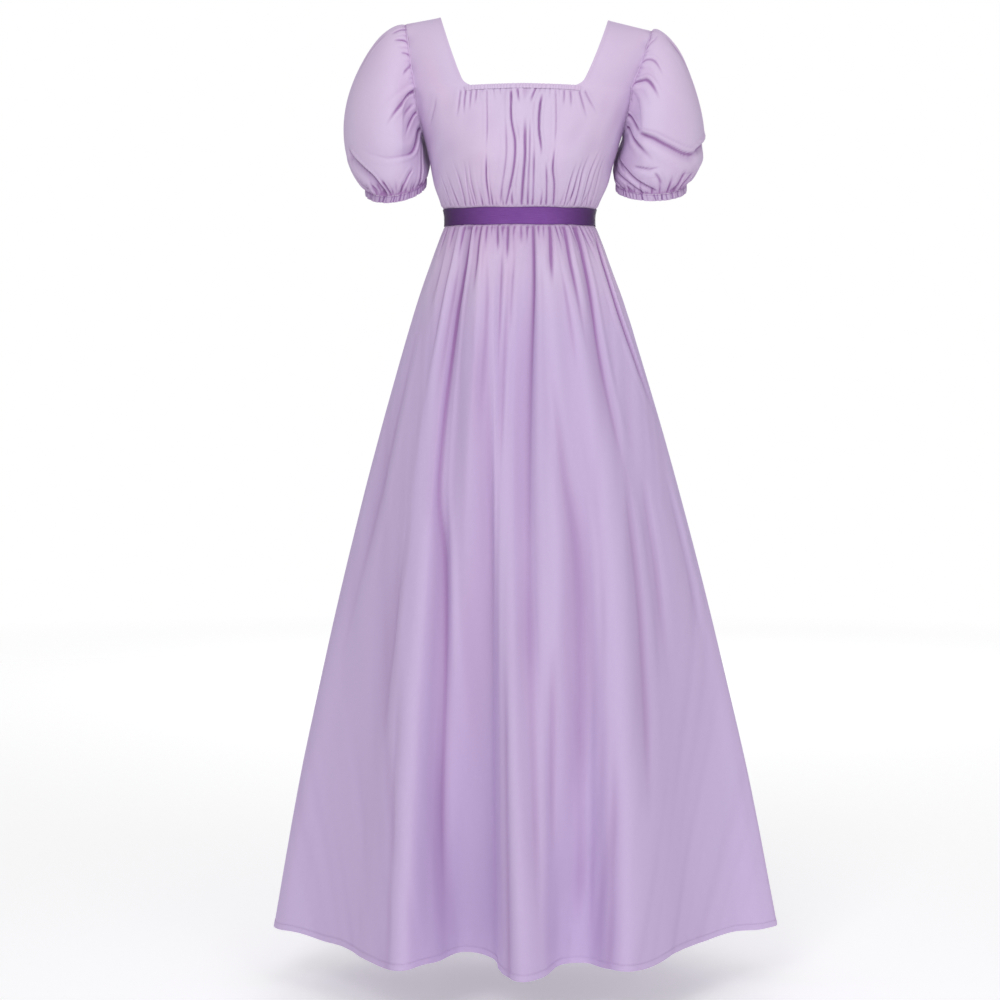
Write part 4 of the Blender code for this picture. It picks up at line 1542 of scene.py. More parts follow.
    def relief(self, chart: Chart) -> Array:
        """Creases, gathers, side seams and hem.

        Args:
            chart: The panel's flat map.

        Returns:
            Millimetres out of the hanging form.
        """
        below = chart.down - self.hanging.form.ribbon_bottom
        grow = smooth_step(below / self.gather_rise)
        relief = chart.creases(self.creases) * grow
        relief += self.gather_gain * chart.gathers(self.gathers, np.maximum(below, 0),
                                                   self.gather_rise)
        relief += self.puff * grow * (1 - smooth_step(below / self.puff_length))
        first, second = chart.flat(0.5)
        settle = self.wave_part.at(below)
        streaked = self.streak_start.at(below) * (1 - self.streak_end.at(below))
        parts = [(wave, settle) for wave in self.waves] + [(self.streak, streaked)]
        for step, (wave, part) in enumerate(parts, 1):
            unrest = wobble(first, wave.slant * second, wave.length, self.seed + step)
            relief += wave.height * unrest * part
        relief = chart.sewn(relief, self.seam, grow)
        from_hem = self.hanging.hem - chart.down
        relief += self.hem_swell * self.hem_edge.at(self.hem_height - from_hem)
        relief -= self.hem_dip * bell(from_hem - self.hem_height, self.hem_dip_width)
        return relief

    def hem_line(self, height: float) -> tuple[Array, Array]:
        """A line along the hem on the cloth's outer face.

        Args:
            height: Height above the hem's edge.

        Returns:
            The line's points and their outward directions.
        """
        row = int(np.argmin(np.abs(self.hanging.hem - self.drops - height)))
        return self.points[row], self.normals[row]


SKIRT_FRONT_CREASES = (
    Crease(((0.304, 304), (0.292, 400), (0.287, 463), (0.284, 676), (0.309, 790), (0.329, 989),
            (0.338, 1209), (0.342, 1363)), 7.0, 5.0, 30, 0, 0.25),
    Crease(((0.429, 304), (0.433, 330), (0.436, 356)), 4.2, 3.4, 5.0, 0, 0.6),
    Crease(((0.475, 304), (0.477, 335), (0.479, 372)), 3.6, 3.4, 5.4, 0, 0.6),
    Crease(((0.523, 304), (0.527, 324), (0.531, 344)), 3.0, 3.0, 4.4, 0, 0.6),
    Crease(((0.569, 304), (0.572, 360), (0.571, 420), (0.563, 560), (0.557, 790), (0.553, 1040)),
           4.2, 3.6, 20, 0, 0.5),
    Crease(((0.643, 304), (0.634, 345), (0.625, 400)), 4.0, 3.0, 5.0, 0, 0.5),
    Crease(((0.385, 335), (0.395, 400), (0.395, 463), (0.385, 640)), 3.0, 6.0, 15, 0.3, 0.5),
    Crease(((0.452, 328), (0.456, 390), (0.452, 540)), 3.2, 5.4, 11, 0.3, 0.5),
    Crease(((0.510, 336), (0.508, 420), (0.512, 520)), 1.8, 4.4, 8.0, 0.3, 0.5),
    Crease(((0.652, 350), (0.656, 430), (0.660, 560)), 2.4, 5.0, 12, 0.3, 0.5),
    Crease(((0.270, 330), (0.262, 420), (0.250, 600)), 2.2, 5.0, 14, 0.3, 0.5),
    Crease(((0.714, 304), (0.697, 356), (0.692, 420), (0.690, 500)), 4.2, 3.6, 9.0, 0, 0.6),
    Crease(((0.786, 304), (0.762, 370), (0.738, 440), (0.728, 500), (0.735, 600), (0.760, 720)),
           5.6, 4.4, 18, 0, 0.5),
    Crease(((0.935, 306), (0.897, 350), (0.873, 410), (0.882, 470), (0.910, 536), (0.950, 600)),
           4.6, 4.0, 6.0, 0.15, 0.35),
    Crease(((0.356, 304), (0.350, 350), (0.348, 420)), 3.6, 3.2, 6.0, 0, 0.6),
    Crease(((0.230, 304), (0.222, 350), (0.214, 430), (0.205, 560)), 3.6, 3.6, 12, 0, 0.6),
    Crease(((0.160, 304), (0.150, 350), (0.140, 440)), 3.2, 3.4, 9.0, 0, 0.6),
    Crease(((0.395, 380), (0.405, 560), (0.413, 790), (0.405, 1000)), 4.0, 12, 26, 0.35, 0.5),
    Crease(((0.492, 400), (0.482, 560), (0.470, 700)), 2.6, 8.0, 14, 0.35, 0.5),
    Crease(((0.604, 440), (0.624, 640), (0.639, 790), (0.638, 1000), (0.637, 1210),
            (0.636, 1340)), 3.8, 8, 22, 0.3, 0.12),
    Crease(((0.668, 540), (0.676, 700), (0.678, 900), (0.672, 1100)), 1.8, 14, 20, 0.4, 0.45),
    Crease(((0.555, 760), (0.556, 900), (0.554, 1100), (0.552, 1300)), 3.6, 14, 24, 0.3, 0.3),
    Crease(((0.600, 880), (0.598, 1040), (0.594, 1240)), 2.8, 12, 20, 0.35, 0.4),
    Crease(((0.736, 620), (0.748, 790), (0.748, 1000), (0.742, 1203)), 4.6, 14, 24, 0.3, 0.4),
    Crease(((0.800, 640), (0.812, 800), (0.815, 1000)), 3.0, 14, 24, 0.35, 0.5),
    Crease(((0.090, 420), (0.085, 620), (0.070, 803), (0.050, 1000)), 3.4, 10, 24, 0.3, 0.5),
    Crease(((0.905, 660), (0.930, 803), (0.935, 960)), 3.2, 12, 22, 0.3, 0.5),
    Crease(((0.205, 700), (0.196, 900), (0.190, 1120)), 2.8, 16, 26, 0.35, 0.45),
    Crease(((0.238, 930), (0.240, 1130), (0.244, 1363)), 2.2, 12, 20, 0.35, 0),
    Crease(((0.690, 1010), (0.688, 1180), (0.686, 1363)), 2.0, 12, 20, 0.35, 0),
    Crease(((0.500, 900), (0.498, 1100), (0.497, 1363)), 2.2, 12, 20, 0.35, 0),
)
SKIRT_FRONT_GATHERS = (
    Gather(0.050, 2.4, 46, 2.6), Gather(0.082, 1.8, 30, 2.2), Gather(0.112, 2.6, 64, 2.8),
    Gather(0.190, 2.4, 50, 2.6), Gather(0.262, 2.6, 70, 2.6), Gather(0.330, 1.8, 30, 2.2),
    Gather(0.384, 2.4, 48, 2.4), Gather(0.405, 1.8, 28, 2.0), Gather(0.452, 2.0, 34, 2.2),
    Gather(0.500, 1.8, 30, 2.0), Gather(0.547, 2.2, 40, 2.2), Gather(0.590, 1.8, 28, 2.0),
    Gather(0.612, 2.0, 36, 2.2), Gather(0.668, 2.4, 52, 2.4, 0.06),
    Gather(0.690, 1.8, 30, 2.0, 0.08), Gather(0.742, 2.2, 46, 2.4, 0.10),
    Gather(0.766, 1.8, 34, 2.0, 0.10), Gather(0.815, 2.4, 56, 2.6, 0.12),
    Gather(0.848, 2.2, 44, 2.4, 0.12), Gather(0.885, 2.0, 38, 2.2, 0.10),
    Gather(0.960, 2.0, 36, 2.4),
) + scattered_gathers(21, 64, 0.02, 0.98, 0.8, 12, 1.4)
SKIRT_BACK_CREASES = (
    Crease(((0.08, 304), (0.085, 420), (0.092, 640)), 4.6, 4.4, 18, 0, 0.5),
    Crease(((0.16, 304), (0.165, 350), (0.168, 420)), 3.6, 3.4, 7.0, 0, 0.6),
    Crease(((0.24, 304), (0.235, 440), (0.232, 640), (0.228, 900)), 5.4, 4.6, 26, 0, 0.5),
    Crease(((0.31, 304), (0.314, 350), (0.318, 400)), 3.2, 3.2, 6.0, 0, 0.6),
    Crease(((0.38, 304), (0.378, 400), (0.372, 560)), 4.4, 4.0, 14, 0, 0.6),
    Crease(((0.455, 304), (0.458, 370), (0.462, 430)), 3.8, 3.6, 8.0, 0, 0.6),
    Crease(((0.52, 304), (0.523, 440), (0.528, 660), (0.530, 900)), 5.0, 4.4, 24, 0, 0.5),
    Crease(((0.60, 304), (0.596, 350), (0.594, 390)), 3.4, 3.2, 6.0, 0, 0.6),
    Crease(((0.67, 304), (0.672, 420), (0.680, 600)), 4.6, 4.2, 16, 0, 0.5),
    Crease(((0.75, 304), (0.755, 360), (0.760, 430)), 3.6, 3.4, 8.0, 0, 0.6),
    Crease(((0.83, 304), (0.826, 440), (0.815, 660), (0.810, 860)), 5.2, 4.6, 24, 0, 0.5),
    Crease(((0.92, 304), (0.915, 380), (0.905, 480)), 3.8, 3.6, 10, 0, 0.6),
    Crease(((0.14, 700), (0.145, 900), (0.148, 1150)), 3.6, 14, 26, 0.3, 0.4),
    Crease(((0.33, 620), (0.335, 850), (0.340, 1120)), 3.4, 14, 26, 0.3, 0.4),
    Crease(((0.45, 760), (0.448, 980), (0.446, 1363)), 2.8, 14, 24, 0.3, 0),
    Crease(((0.60, 660), (0.598, 880), (0.600, 1160)), 3.6, 14, 26, 0.3, 0.4),
    Crease(((0.74, 700), (0.742, 930), (0.746, 1363)), 3.0, 14, 26, 0.3, 0),
    Crease(((0.88, 640), (0.884, 860), (0.888, 1120)), 3.2, 14, 26, 0.3, 0.4),
)
SKIRT_BACK_GATHERS = (
    Gather(0.040, 2.2, 40, 2.4), Gather(0.115, 2.6, 60, 2.6), Gather(0.140, 1.8, 30, 2.2),
    Gather(0.200, 2.4, 50, 2.4), Gather(0.272, 2.4, 48, 2.4), Gather(0.345, 2.2, 42, 2.4),
    Gather(0.415, 2.4, 56, 2.4), Gather(0.438, 1.8, 30, 2.0), Gather(0.490, 2.2, 44, 2.4),
    Gather(0.560, 2.4, 52, 2.4), Gather(0.635, 2.2, 44, 2.4), Gather(0.705, 2.4, 50, 2.4),
    Gather(0.728, 1.8, 30, 2.0), Gather(0.790, 2.4, 54, 2.4), Gather(0.872, 2.2, 44, 2.4),
    Gather(0.955, 2.2, 40, 2.4),
) + scattered_gathers(27, 60, 0.02, 0.98, 0.8, 12, 1.4)


# ---------------------------------------------------------------------------
# Sleeves and cuffs
# ---------------------------------------------------------------------------

class Guide(NamedTuple):
    """How far the sleeve bulges past its head and its cuff, at one angle."""

    head_out: float
    head_spread: float
    cuff_out: float
    cuff_up: float


SLEEVE_GUIDES = {
    "left": (
        Guide(63, 2, 75, 62),
        Guide(57, 18, 66, 63),
        Guide(38, 34, 46, 57),
        Guide(19, 22, 13, 40),
        Guide(6, 12, 8, 14),
        Guide(8, 24, 40, 18),
        Guide(36, 30, 44, 55),
        Guide(57, 16, 64, 61),
    ),
    "right": (
        Guide(30, 30, 71, 60),
        Guide(34, 32, 62, 62),
        Guide(28, 34, 43, 58),
        Guide(15, 22, 13, 40),
        Guide(6, 12, 8, 14),
        Guide(8, 24, 40, 18),
        Guide(27, 30, 42, 56),
        Guide(34, 29, 60, 61),
    ),
}


@dataclass(frozen=True)
class CuffRing:
    """The ring that a sleeve's end is drawn in to."""

    side: int
    middle_x: float
    middle_y: float
    reach: float
    depth: float
    drop: float
    outer_fall: float
    front_fall: float

    def point(self, angle: Array, rise: Array) -> Array:
        """Points of the ring.

        Args:
            angle: Degrees from its outer side, towards the front.
            rise: Millimetres above its lower edge.

        Returns:
            Points in millimetres.
        """
        cosine, sine = cosine_and_sine(angle)
        drop = self.drop + self.outer_fall * cosine + self.front_fall * sine - rise
        return np.stack((
            self.side * (self.middle_x + self.reach * cosine),
            self.middle_y - self.depth * sine,
            -drop,
        ), -1)


CUFF_RINGS = {
    "left": CuffRing(-1, 188, 2, 46, 56, 252, 6, 23),
    "right": CuffRing(1, 192, 2, 53, 56, 254, 0, 19),
}


def by_angle(side: int, *creases: Crease) -> tuple[Crease, ...]:
    """Turn creases that are listed by angle round a sleeve into shares across it.

    Args:
        side: -1 for the left sleeve, 1 for the right one.
        creases: Creases whose routes are angles and shares of the way to the cuff.

    Returns:
        The same creases in shares across.
    """
    return tuple(
        crease._replace(route=tuple((-side * angle / 360, fall) for angle, fall in crease.route))
        for crease in creases)


@dataclass
class Sleeve:
    """Short puffed sleeve, gathered into the armhole and the cuff.

    Attributes:
        name: Name of the piece and of the node it stands for.
        form: The form that the bodice is worn over.
        strap: The strap that it hangs from.
        ring: The cuff's ring.
        guides: How it bulges, in even steps of angle from its outer side.
        creases: Its creases, in shares across and of the way to the cuff.
        seed: Picks the patterns of its gathers.
        fall_length: Length from the armhole to the cuff that counts for its creases.
        seam_reach: Share of the way to the side seam at which the armhole's edge stops.
        head_turn: Degrees from its outer side to the last gather of its head.
        head_gathers: Number, depth, length and width of the gathers at its head.
        foot_gathers: The same for its foot, the broad ones and then the fine ones.
        unrest: Height of its slow waves.
        inner_shade: Shade beside the body, from inner_part inwards, behind_part back and
            fall_part down.
        foot_shade: Shade in the seam of the cuff.
    """

    name: str
    form: WornForm
    strap: Strap
    ring: CuffRing
    guides: tuple[Guide, ...]
    creases: tuple[Crease, ...]
    seed: int
    thickness: float = 0.8
    columns: int = 336
    rows: int = 96
    cuff_height: float = 10.0
    fall_length: float = 240.0
    armhole_samples: int = 40
    cloth_width: float = 0.46
    cloth_length: float = 0.26
    seam_reach: float = 0.99999
    full_depth: float = 8.0
    tight_depth: float = 1.9
    cuff_shade: float = 0.30
    shade_length: float = 40.0
    inner_shade: float = 0.9
    inner_part: Ramp = Ramp(0.4, 0.3)
    behind_part: Ramp = Ramp(-0.25, 0.45)
    fall_part: Ramp = Ramp(0.15, 0.3)
    foot_shade: float = 0.6
    head_turn: float = 118.0
    head_gathers: tuple[float, ...] = (40, 1.2, 16, 1.8)
    foot_gathers: tuple[tuple[float, ...], ...] = ((44, 2.6, 22, 1.9), (64, 1.2, 10, 1.2))
    gather_rise: float = 4.0
    unrest: float = 0.9
    seam_dip: float = 1.1
    seam_width: float = 2.2

    def armhole_half(self, front: bool) -> Array:
        """Armhole edge from the shoulder ridge down to the side seam.

        Args:
            front: Whether it is the front half.

        Returns:
            Points in even steps of length.
        """
        form = self.form
        from_side = [form.edge(front)[row].turn
                     for row in (form.strap_outer_row, form.strap_inner_row)]
        left = self.strap.side < 0
        side_turn = 180.0 if left else (360.0 if front else 0.0)
        inward = 1 if left == front else -1
        outer_turn, inner_turn = (side_turn + inward * turn for turn in from_side)
        share = np.linspace(0, 1, self.armhole_samples + 1)
        edge = form.strap_point(self.strap, outer_turn, inner_turn, form.foot_drop(front), 0.0,
                                0 * share, 1 - share)
        turn = outer_turn + (side_turn - outer_turn) * share[1:] * self.seam_reach
        points = np.vstack((edge, form.point(turn, form.top_drop(turn, front))))
        lengths = lengths_along(points)
        return read_line(points, lengths, np.linspace(0, lengths[-1], self.armhole_samples + 1))

    def plain(self, angle: Array, fall: Array) -> Array:
        """The puffed form without its creases.

        Args:
            angle: Degrees from the outer side, towards the front.
            fall: Share of the way from the armhole to the cuff.

        Returns:
            Points in millimetres.
        """
        side = self.strap.side
        ring = np.vstack((self.armhole_half(True), self.armhole_half(False)[::-1][1:-1]))
        ring = ring + np.array((side * self.form.seam_gap, 0.0, 0.0))
        head = closed_curve(ring, angle % 360 / 360 * len(ring))
        foot = self.ring.point(angle, self.cuff_height + self.form.seam_gap)
        table = np.array(self.guides, dtype=float)
        guide = closed_curve(table, angle % 360 / 360 * len(table))
        spread = head - ring.mean(axis=0)
        spread[..., 0] = 0.0
        spread = unit(spread)
        out = np.array((side, 0.0, 0.0))
        head_guide = head + out * guide[..., :1] + spread * guide[..., 1:2]
        cosine, sine = cosine_and_sine(angle)
        foot_guide = foot + np.stack((side * cosine * guide[..., 2], -sine * guide[..., 2],
                                      guide[..., 3]), -1)
        fall = fall[..., None]
        rest = 1 - fall
        return (head * rest ** 3 + 3 * head_guide * rest ** 2 * fall
                + 3 * foot_guide * rest * fall ** 2 + foot * fall ** 3)

    def build(self, material: bpy.types.Material) -> bpy.types.Object:
        """Make the sleeve, open at both ends.

        Args:
            material: The gown's cloth.

        Returns:
            The new object.
        """
        shares = np.arange(self.columns) / self.columns
        falls = 1 - np.linspace(0, 1, self.rows + 1)
        across, fall = np.meshgrid(shares, falls)
        base = self.plain(-self.strap.side * 360 * across, fall)
        chart = Chart(across, fall, falls, row_lengths(base, True), self.fall_length, True)
        relief = self.relief(chart)
        places = np.stack((across * self.cloth_width, (1 - fall) * self.cloth_length), -1)
        from_cuff = (1 - fall) * self.fall_length
        inward = -np.cos(2 * math.pi * across)
        behind = self.strap.side * np.sin(2 * math.pi * across)
        shade = shade_of(relief, self.full_depth, self.tight_depth, True)
        shade += self.cuff_shade * (1 - smooth_step(from_cuff / self.shade_length))
        shade += self.foot_shade * bell(from_cuff, self.seam_width)
        shade += self.inner_shade * self.inner_part.at(inward) * self.behind_part.at(
            behind) * self.fall_part.at(fall)
        return sheet_of(self.name, self.thickness, raised(base, relief, True), places, shade,
                        material, True)

    def relief(self, chart: Chart) -> Array:
        """Creases of the puff and gathers at both of its seams.

        Args:
            chart: The sleeve's flat map.

        Returns:
            Millimetres out of the plain form.
        """
        from_head = chart.down * self.fall_length
        from_cuff = (1 - chart.down) * self.fall_length
        rise = self.gather_rise
        ends = smooth_step(from_head / rise) * smooth_step(from_cuff / rise)
        relief = chart.creases(self.creases) * ends
        turn = self.head_turn / 360
        count, *sizes = self.head_gathers
        head = tuple(row._replace(place=row.place % 1.0)
                     for row in scattered_gathers(self.seed, count, -turn, turn, *sizes))
        relief += chart.gathers(head, from_head, rise)
        foot = tuple(row for step, (count, *sizes) in enumerate(self.foot_gathers, 1)
                     for row in scattered_gathers(self.seed + step, count, 0.0, 1.0, *sizes))
        relief += chart.gathers(foot, from_cuff, rise)
        around = 2 * math.pi * chart.across
        waves = np.sin(around * 3 + chart.down * 5 + self.seed)
        relief += self.unrest * waves * np.sin(around * 2 - chart.down * 9) * ends
        groove = from_head / self.seam_width
        return relief - self.seam_dip * groove * np.exp(1 - groove)


SLEEVE_CREASES = {
    "left": by_angle(
        -1,
        Crease(((24, 0.14), (21, 0.07), (18, 0.0)), 1.5, 2.6, 2.4, 0.4, 0),
        Crease(((36, 0.13), (39, 0.06), (42, 0.0)), 1.7, 2.8, 2.4, 0.4, 0),
        Crease(((58, 0.10), (59, 0.04), (60, 0.0)), 1.4, 2.6, 2.4, 0.4, 0),
        Crease(((84, 0.15), (79, 0.06), (74, 0.0)), 1.7, 2.8, 2.4, 0.5, 0),
        Crease(((110, 0.0), (102, 0.28), (78, 0.60)), 3.0, 2.4, 3.4, 0.03, 0.5),
        Crease(((122, 0.03), (118, 0.20), (104, 0.44)), 1.2, 2.4, 3.0, 0.3, 0.5),
        Crease(((135, 0.03), (128, 0.26), (108, 0.56)), 2.6, 2.4, 3.0, 0.05, 0.5),
        Crease(((160, 0.0), (150, 0.30), (130, 0.59), (95, 0.72), (70, 0.75), (36, 0.72)), 4.0,
               3.0, 6.5, 0.03, 0.6),
        Crease(((172, 0.10), (160, 0.45), (150, 0.72), (142, 0.97)), 3.4, 3.4, 3.0, 0.1, 0),
        Crease(((23, 0.77), (34, 0.81), (47, 0.845), (62, 0.895), (74, 1.0)), 7.0, 5.8, 4.8, 0.12,
               0),
        Crease(((12, 0.78), (20, 0.86), (34, 0.93), (44, 0.97)), 4.4, 4.2, 3.2, 0.2, 0.1),
        Crease(((30, 0.90), (36, 0.95), (39, 1.0)), 2.8, 3.0, 2.8, 0.3, 0),
        Crease(((72, 0.89), (78, 0.94), (84, 1.0)), 3.6, 3.2, 2.6, 0.3, 0),
        Crease(((52, 0.93), (58, 0.96), (60, 1.0)), 2.6, 2.8, 2.6, 0.3, 0),
        Crease(((126, 0.76), (112, 0.86), (100, 1.0)), 2.0, 2.6, 2.6, 0.3, 0),
        Crease(((240, 0.40), (270, 0.54), (300, 0.62)), 3.6, 3.6, 6.0, 0.25, 0.4),
        Crease(((205, 0.62), (240, 0.76), (285, 0.84)), 3.6, 3.6, 5.4, 0.25, 0.4),
        Crease(((250, 0.02), (262, 0.30), (276, 0.58)), 2.8, 2.6, 3.8, 0.1, 0.6),
        Crease(((226, 0.02), (232, 0.20), (236, 0.34)), 2.4, 2.6, 3.2, 0.1, 0.5),
        Crease(((338, 0.80), (318, 0.86), (300, 0.93), (286, 1.0)), 3.8, 3.6, 3.0, 0.25, 0),
        Crease(((348, 0.0), (345, 0.08), (339, 0.18)), 1.8, 2.8, 3.6, 0, 0.6),
        Crease(((-12, 0.20), (-16, 0.36), (-10, 0.56)), 2.4, 5.0, 9.0, 0.35, 0.5),
        Crease(((16, 0.14), (12, 0.30), (14, 0.46)), 1.8, 5.0, 8.0, 0.35, 0.5),
        Crease(((-34, 0.58), (-24, 0.70), (-22, 0.82)), 2.4, 4.0, 6.0, 0.35, 0.5),
        Crease(((322, 0.0), (318, 0.13), (309, 0.28)), 2.2, 3.0, 4.2, 0, 0.6),
        Crease(((296, 0.0), (297, 0.16), (303, 0.36)), 2.2, 3.0, 4.6, 0, 0.6),
        Crease(((318, 0.34), (334, 0.52), (347, 0.66)), 2.4, 4.6, 8.0, 0.35, 0.5),
        Crease(((350, 1.0), (348, 0.90), (341, 0.76)), 3.4, 3.2, 5.6, 0, 0.6),
        Crease(((8, 1.0), (5, 0.92), (1, 0.84)), 2.4, 3.0, 4.2, 0, 0.6),
        Crease(((327, 1.0), (330, 0.93), (331, 0.85)), 2.8, 3.0, 4.4, 0, 0.6),
    ),
    "right": by_angle(
        1,
        Crease(((44, 0.0), (34, 0.08), (20, 0.13)), 1.2, 2.6, 2.6, 0, 0.5),
        Crease(((66, 0.0), (62, 0.10), (60, 0.20), (62, 0.34)), 1.4, 2.4, 3.0, 0.1, 0.5),
        Crease(((95, 0.0), (88, 0.11), (82, 0.20), (75, 0.44)), 2.8, 2.4, 3.4, 0.03, 0.5),
        Crease(((138, 0.0), (128, 0.24), (114, 0.44), (102, 0.55)), 2.6, 2.4, 3.0, 0.03, 0.4),
        Crease(((153, 0.06), (138, 0.30), (120, 0.52), (96, 0.72), (88, 0.79)), 3.0, 2.6, 3.2,
               0.05, 0.4),
        Crease(((112, 0.50), (90, 0.62), (74, 0.70), (52, 0.775), (30, 0.80)), 5.4, 3.4, 5.0,
               0.15, 0.15),
        Crease(((44, 0.785), (26, 0.775), (4, 0.762), (-16, 0.735)), 6.4, 4.4, 7.0, 0.3, 0.42),
        Crease(((-8, 0.16), (-13, 0.33), (-8, 0.50)), 2.4, 5.0, 9.0, 0.35, 0.5),
        Crease(((19, 0.18), (11, 0.35), (8, 0.53)), 1.8, 5.0, 8.0, 0.35, 0.5),
        Crease(((-38, 0.55), (-25, 0.68), (-20, 0.80)), 2.4, 4.0, 6.0, 0.35, 0.5),
        Crease(((122, 0.75), (106, 0.79), (96, 0.81), (80, 0.815)), 2.2, 2.8, 3.4, 0.3, 0.4),
        Crease(((90, 0.84), (84, 0.88), (78, 0.94)), 1.8, 2.8, 3.0, 0.3, 0.4),
        Crease(((182, 0.30), (160, 0.58), (132, 0.78), (110, 0.90), (84, 0.98)), 4.0, 2.8, 3.0,
               0.1, 0.05),
        Crease(((188, 0.52), (168, 0.70), (146, 0.83), (122, 0.93), (106, 1.0)), 3.2, 2.8, 2.8,
               0.15, 0),
        Crease(((202, 0.68), (178, 0.82), (156, 0.92), (142, 1.0)), 3.0, 2.8, 2.8, 0.15, 0),
        Crease(((166, 0.55), (148, 0.72), (128, 0.85)), 1.6, 2.4, 2.8, 0.3, 0.4),
        Crease(((46, 0.86), (50, 0.92), (53, 1.0)), 2.4, 3.0, 2.6, 0.3, 0),
        Crease(((30, 0.88), (36, 0.94), (40, 1.0)), 2.4, 3.0, 2.6, 0.3, 0),
        Crease(((235, 0.45), (268, 0.55), (305, 0.60)), 3.6, 3.6, 6.0, 0.25, 0.4),
        Crease(((210, 0.66), (246, 0.78), (285, 0.86)), 3.6, 3.6, 5.4, 0.25, 0.4),
        Crease(((256, 0.02), (266, 0.28), (280, 0.54)), 2.8, 2.6, 3.8, 0.1, 0.6),
        Crease(((340, 0.82), (322, 0.87), (304, 0.94), (290, 1.0)), 3.8, 3.6, 3.0, 0.25, 0),
        Crease(((352, 0.0), (350, 0.09), (343, 0.20)), 1.9, 2.8, 3.8, 0, 0.6),
        Crease(((327, 0.0), (324, 0.12), (316, 0.24)), 2.0, 3.0, 4.0, 0, 0.6),
        Crease(((302, 0.0), (300, 0.18), (306, 0.40)), 2.4, 3.0, 4.8, 0, 0.6),
        Crease(((310, 0.30), (328, 0.47), (344, 0.60)), 2.6, 4.6, 8.0, 0.35, 0.5),
        Crease(((345, 1.0), (345, 0.91), (338, 0.79)), 3.2, 3.2, 5.4, 0, 0.6),
        Crease(((12, 1.0), (8, 0.92), (3, 0.86)), 2.4, 3.0, 4.0, 0, 0.6),
        Crease(((322, 1.0), (326, 0.94), (326, 0.87)), 2.6, 3.0, 4.2, 0, 0.6),
    ),
}


class Ruffle(NamedTuple):
    """One set of a cuff's ruffles, with its number and sizes as parts of the usual ones."""

    seed_step: int
    spacing: int
    depth: float
    width: float


@dataclass
class Cuff:
    """Narrow elastic casing at a sleeve's end.

    Attributes:
        name: Name of the piece and of the node it stands for.
        ring: The ring that it lies on.
        seed: Picks the pattern of its ruffles.
        sets: Its ruffles, the broad ones and then the fine ones.
        lean: How far they all lean, to which each adds its own.
        least_gather: Share of the ruffles' depth that its two edges keep.
        scallop: How far the ruffles draw its lower edge down.
        plain_shade: Shade all over it.
        top_shade: More shade where the sleeve rolls over it.
    """

    name: str
    ring: CuffRing
    seed: int
    columns: int = 420
    rows: int = 10
    height: float = 10.0
    thickness: float = 0.7
    ruffles: int = 46
    ruffle_depth: float = 1.9
    ruffle_length: float = 60.0
    sets: tuple[Ruffle, ...] = (Ruffle(0, 2, 1.0, 1.5), Ruffle(7, 1, 0.6, 0.8))
    lean: float = 0.0
    own_lean: float = 2.5
    gather_rise: float = 1.0
    roundness: float = 0.7
    least_gather: float = 0.4
    full_depth: float = 3.0
    tight_depth: float = 2.0
    plain_shade: float = 0.22
    top_shade: float = 0.5
    top_width: float = 1.6
    swell: float = 0.3
    scallop: float = 1.1
    cloth_width: float = 0.46

    def build(self, material: bpy.types.Material) -> bpy.types.Object:
        """Make the cuff, open at both ends.

        Args:
            material: The casings' cloth.

        Returns:
            The new object.
        """
        across, up = np.meshgrid(np.arange(self.columns) / self.columns,
                                 np.linspace(0, 1, self.rows + 1))
        base = self.ring.point(-self.ring.side * 360 * across, self.height * up)
        chart = Chart(across, up, up[:, 0], row_lengths(base, True), self.height, True)
        table = [row._replace(lean=self.lean + self.own_lean * row.lean)
                 for kind in self.sets
                 for row in scattered_gathers(self.seed + kind.seed_step,
                                              self.ruffles // kind.spacing, 0.0, 1.0,
                                              kind.depth * self.ruffle_depth, self.ruffle_length,
                                              kind.width)]
        gathered = chart.gathers(table, self.gather_rise + self.height * up, self.gather_rise)
        crown = np.sin(math.pi * up) ** self.roundness
        kept = self.least_gather + (1 - self.least_gather) * crown
        points = raised(base, self.swell * crown + gathered * kept, True)
        points[..., 2] -= self.scallop * gathered / self.ruffle_depth * (1 - up) ** 2
        places = np.stack((across * self.cloth_width, up * self.height * MM), -1)
        shade = self.plain_shade + shade_of(gathered, self.full_depth, self.tight_depth, True)
        shade += self.top_shade * bell(self.height * (1 - up), self.top_width)
        return sheet_of(self.name, self.thickness, points, places, shade, material, True)


# ---------------------------------------------------------------------------
# Stitching
# ---------------------------------------------------------------------------

class StitchRing(NamedTuple):
    """A ring of a stitch: its share of the length, its lift and its share of the radius."""

    share: float
    lift: float
    radius: float


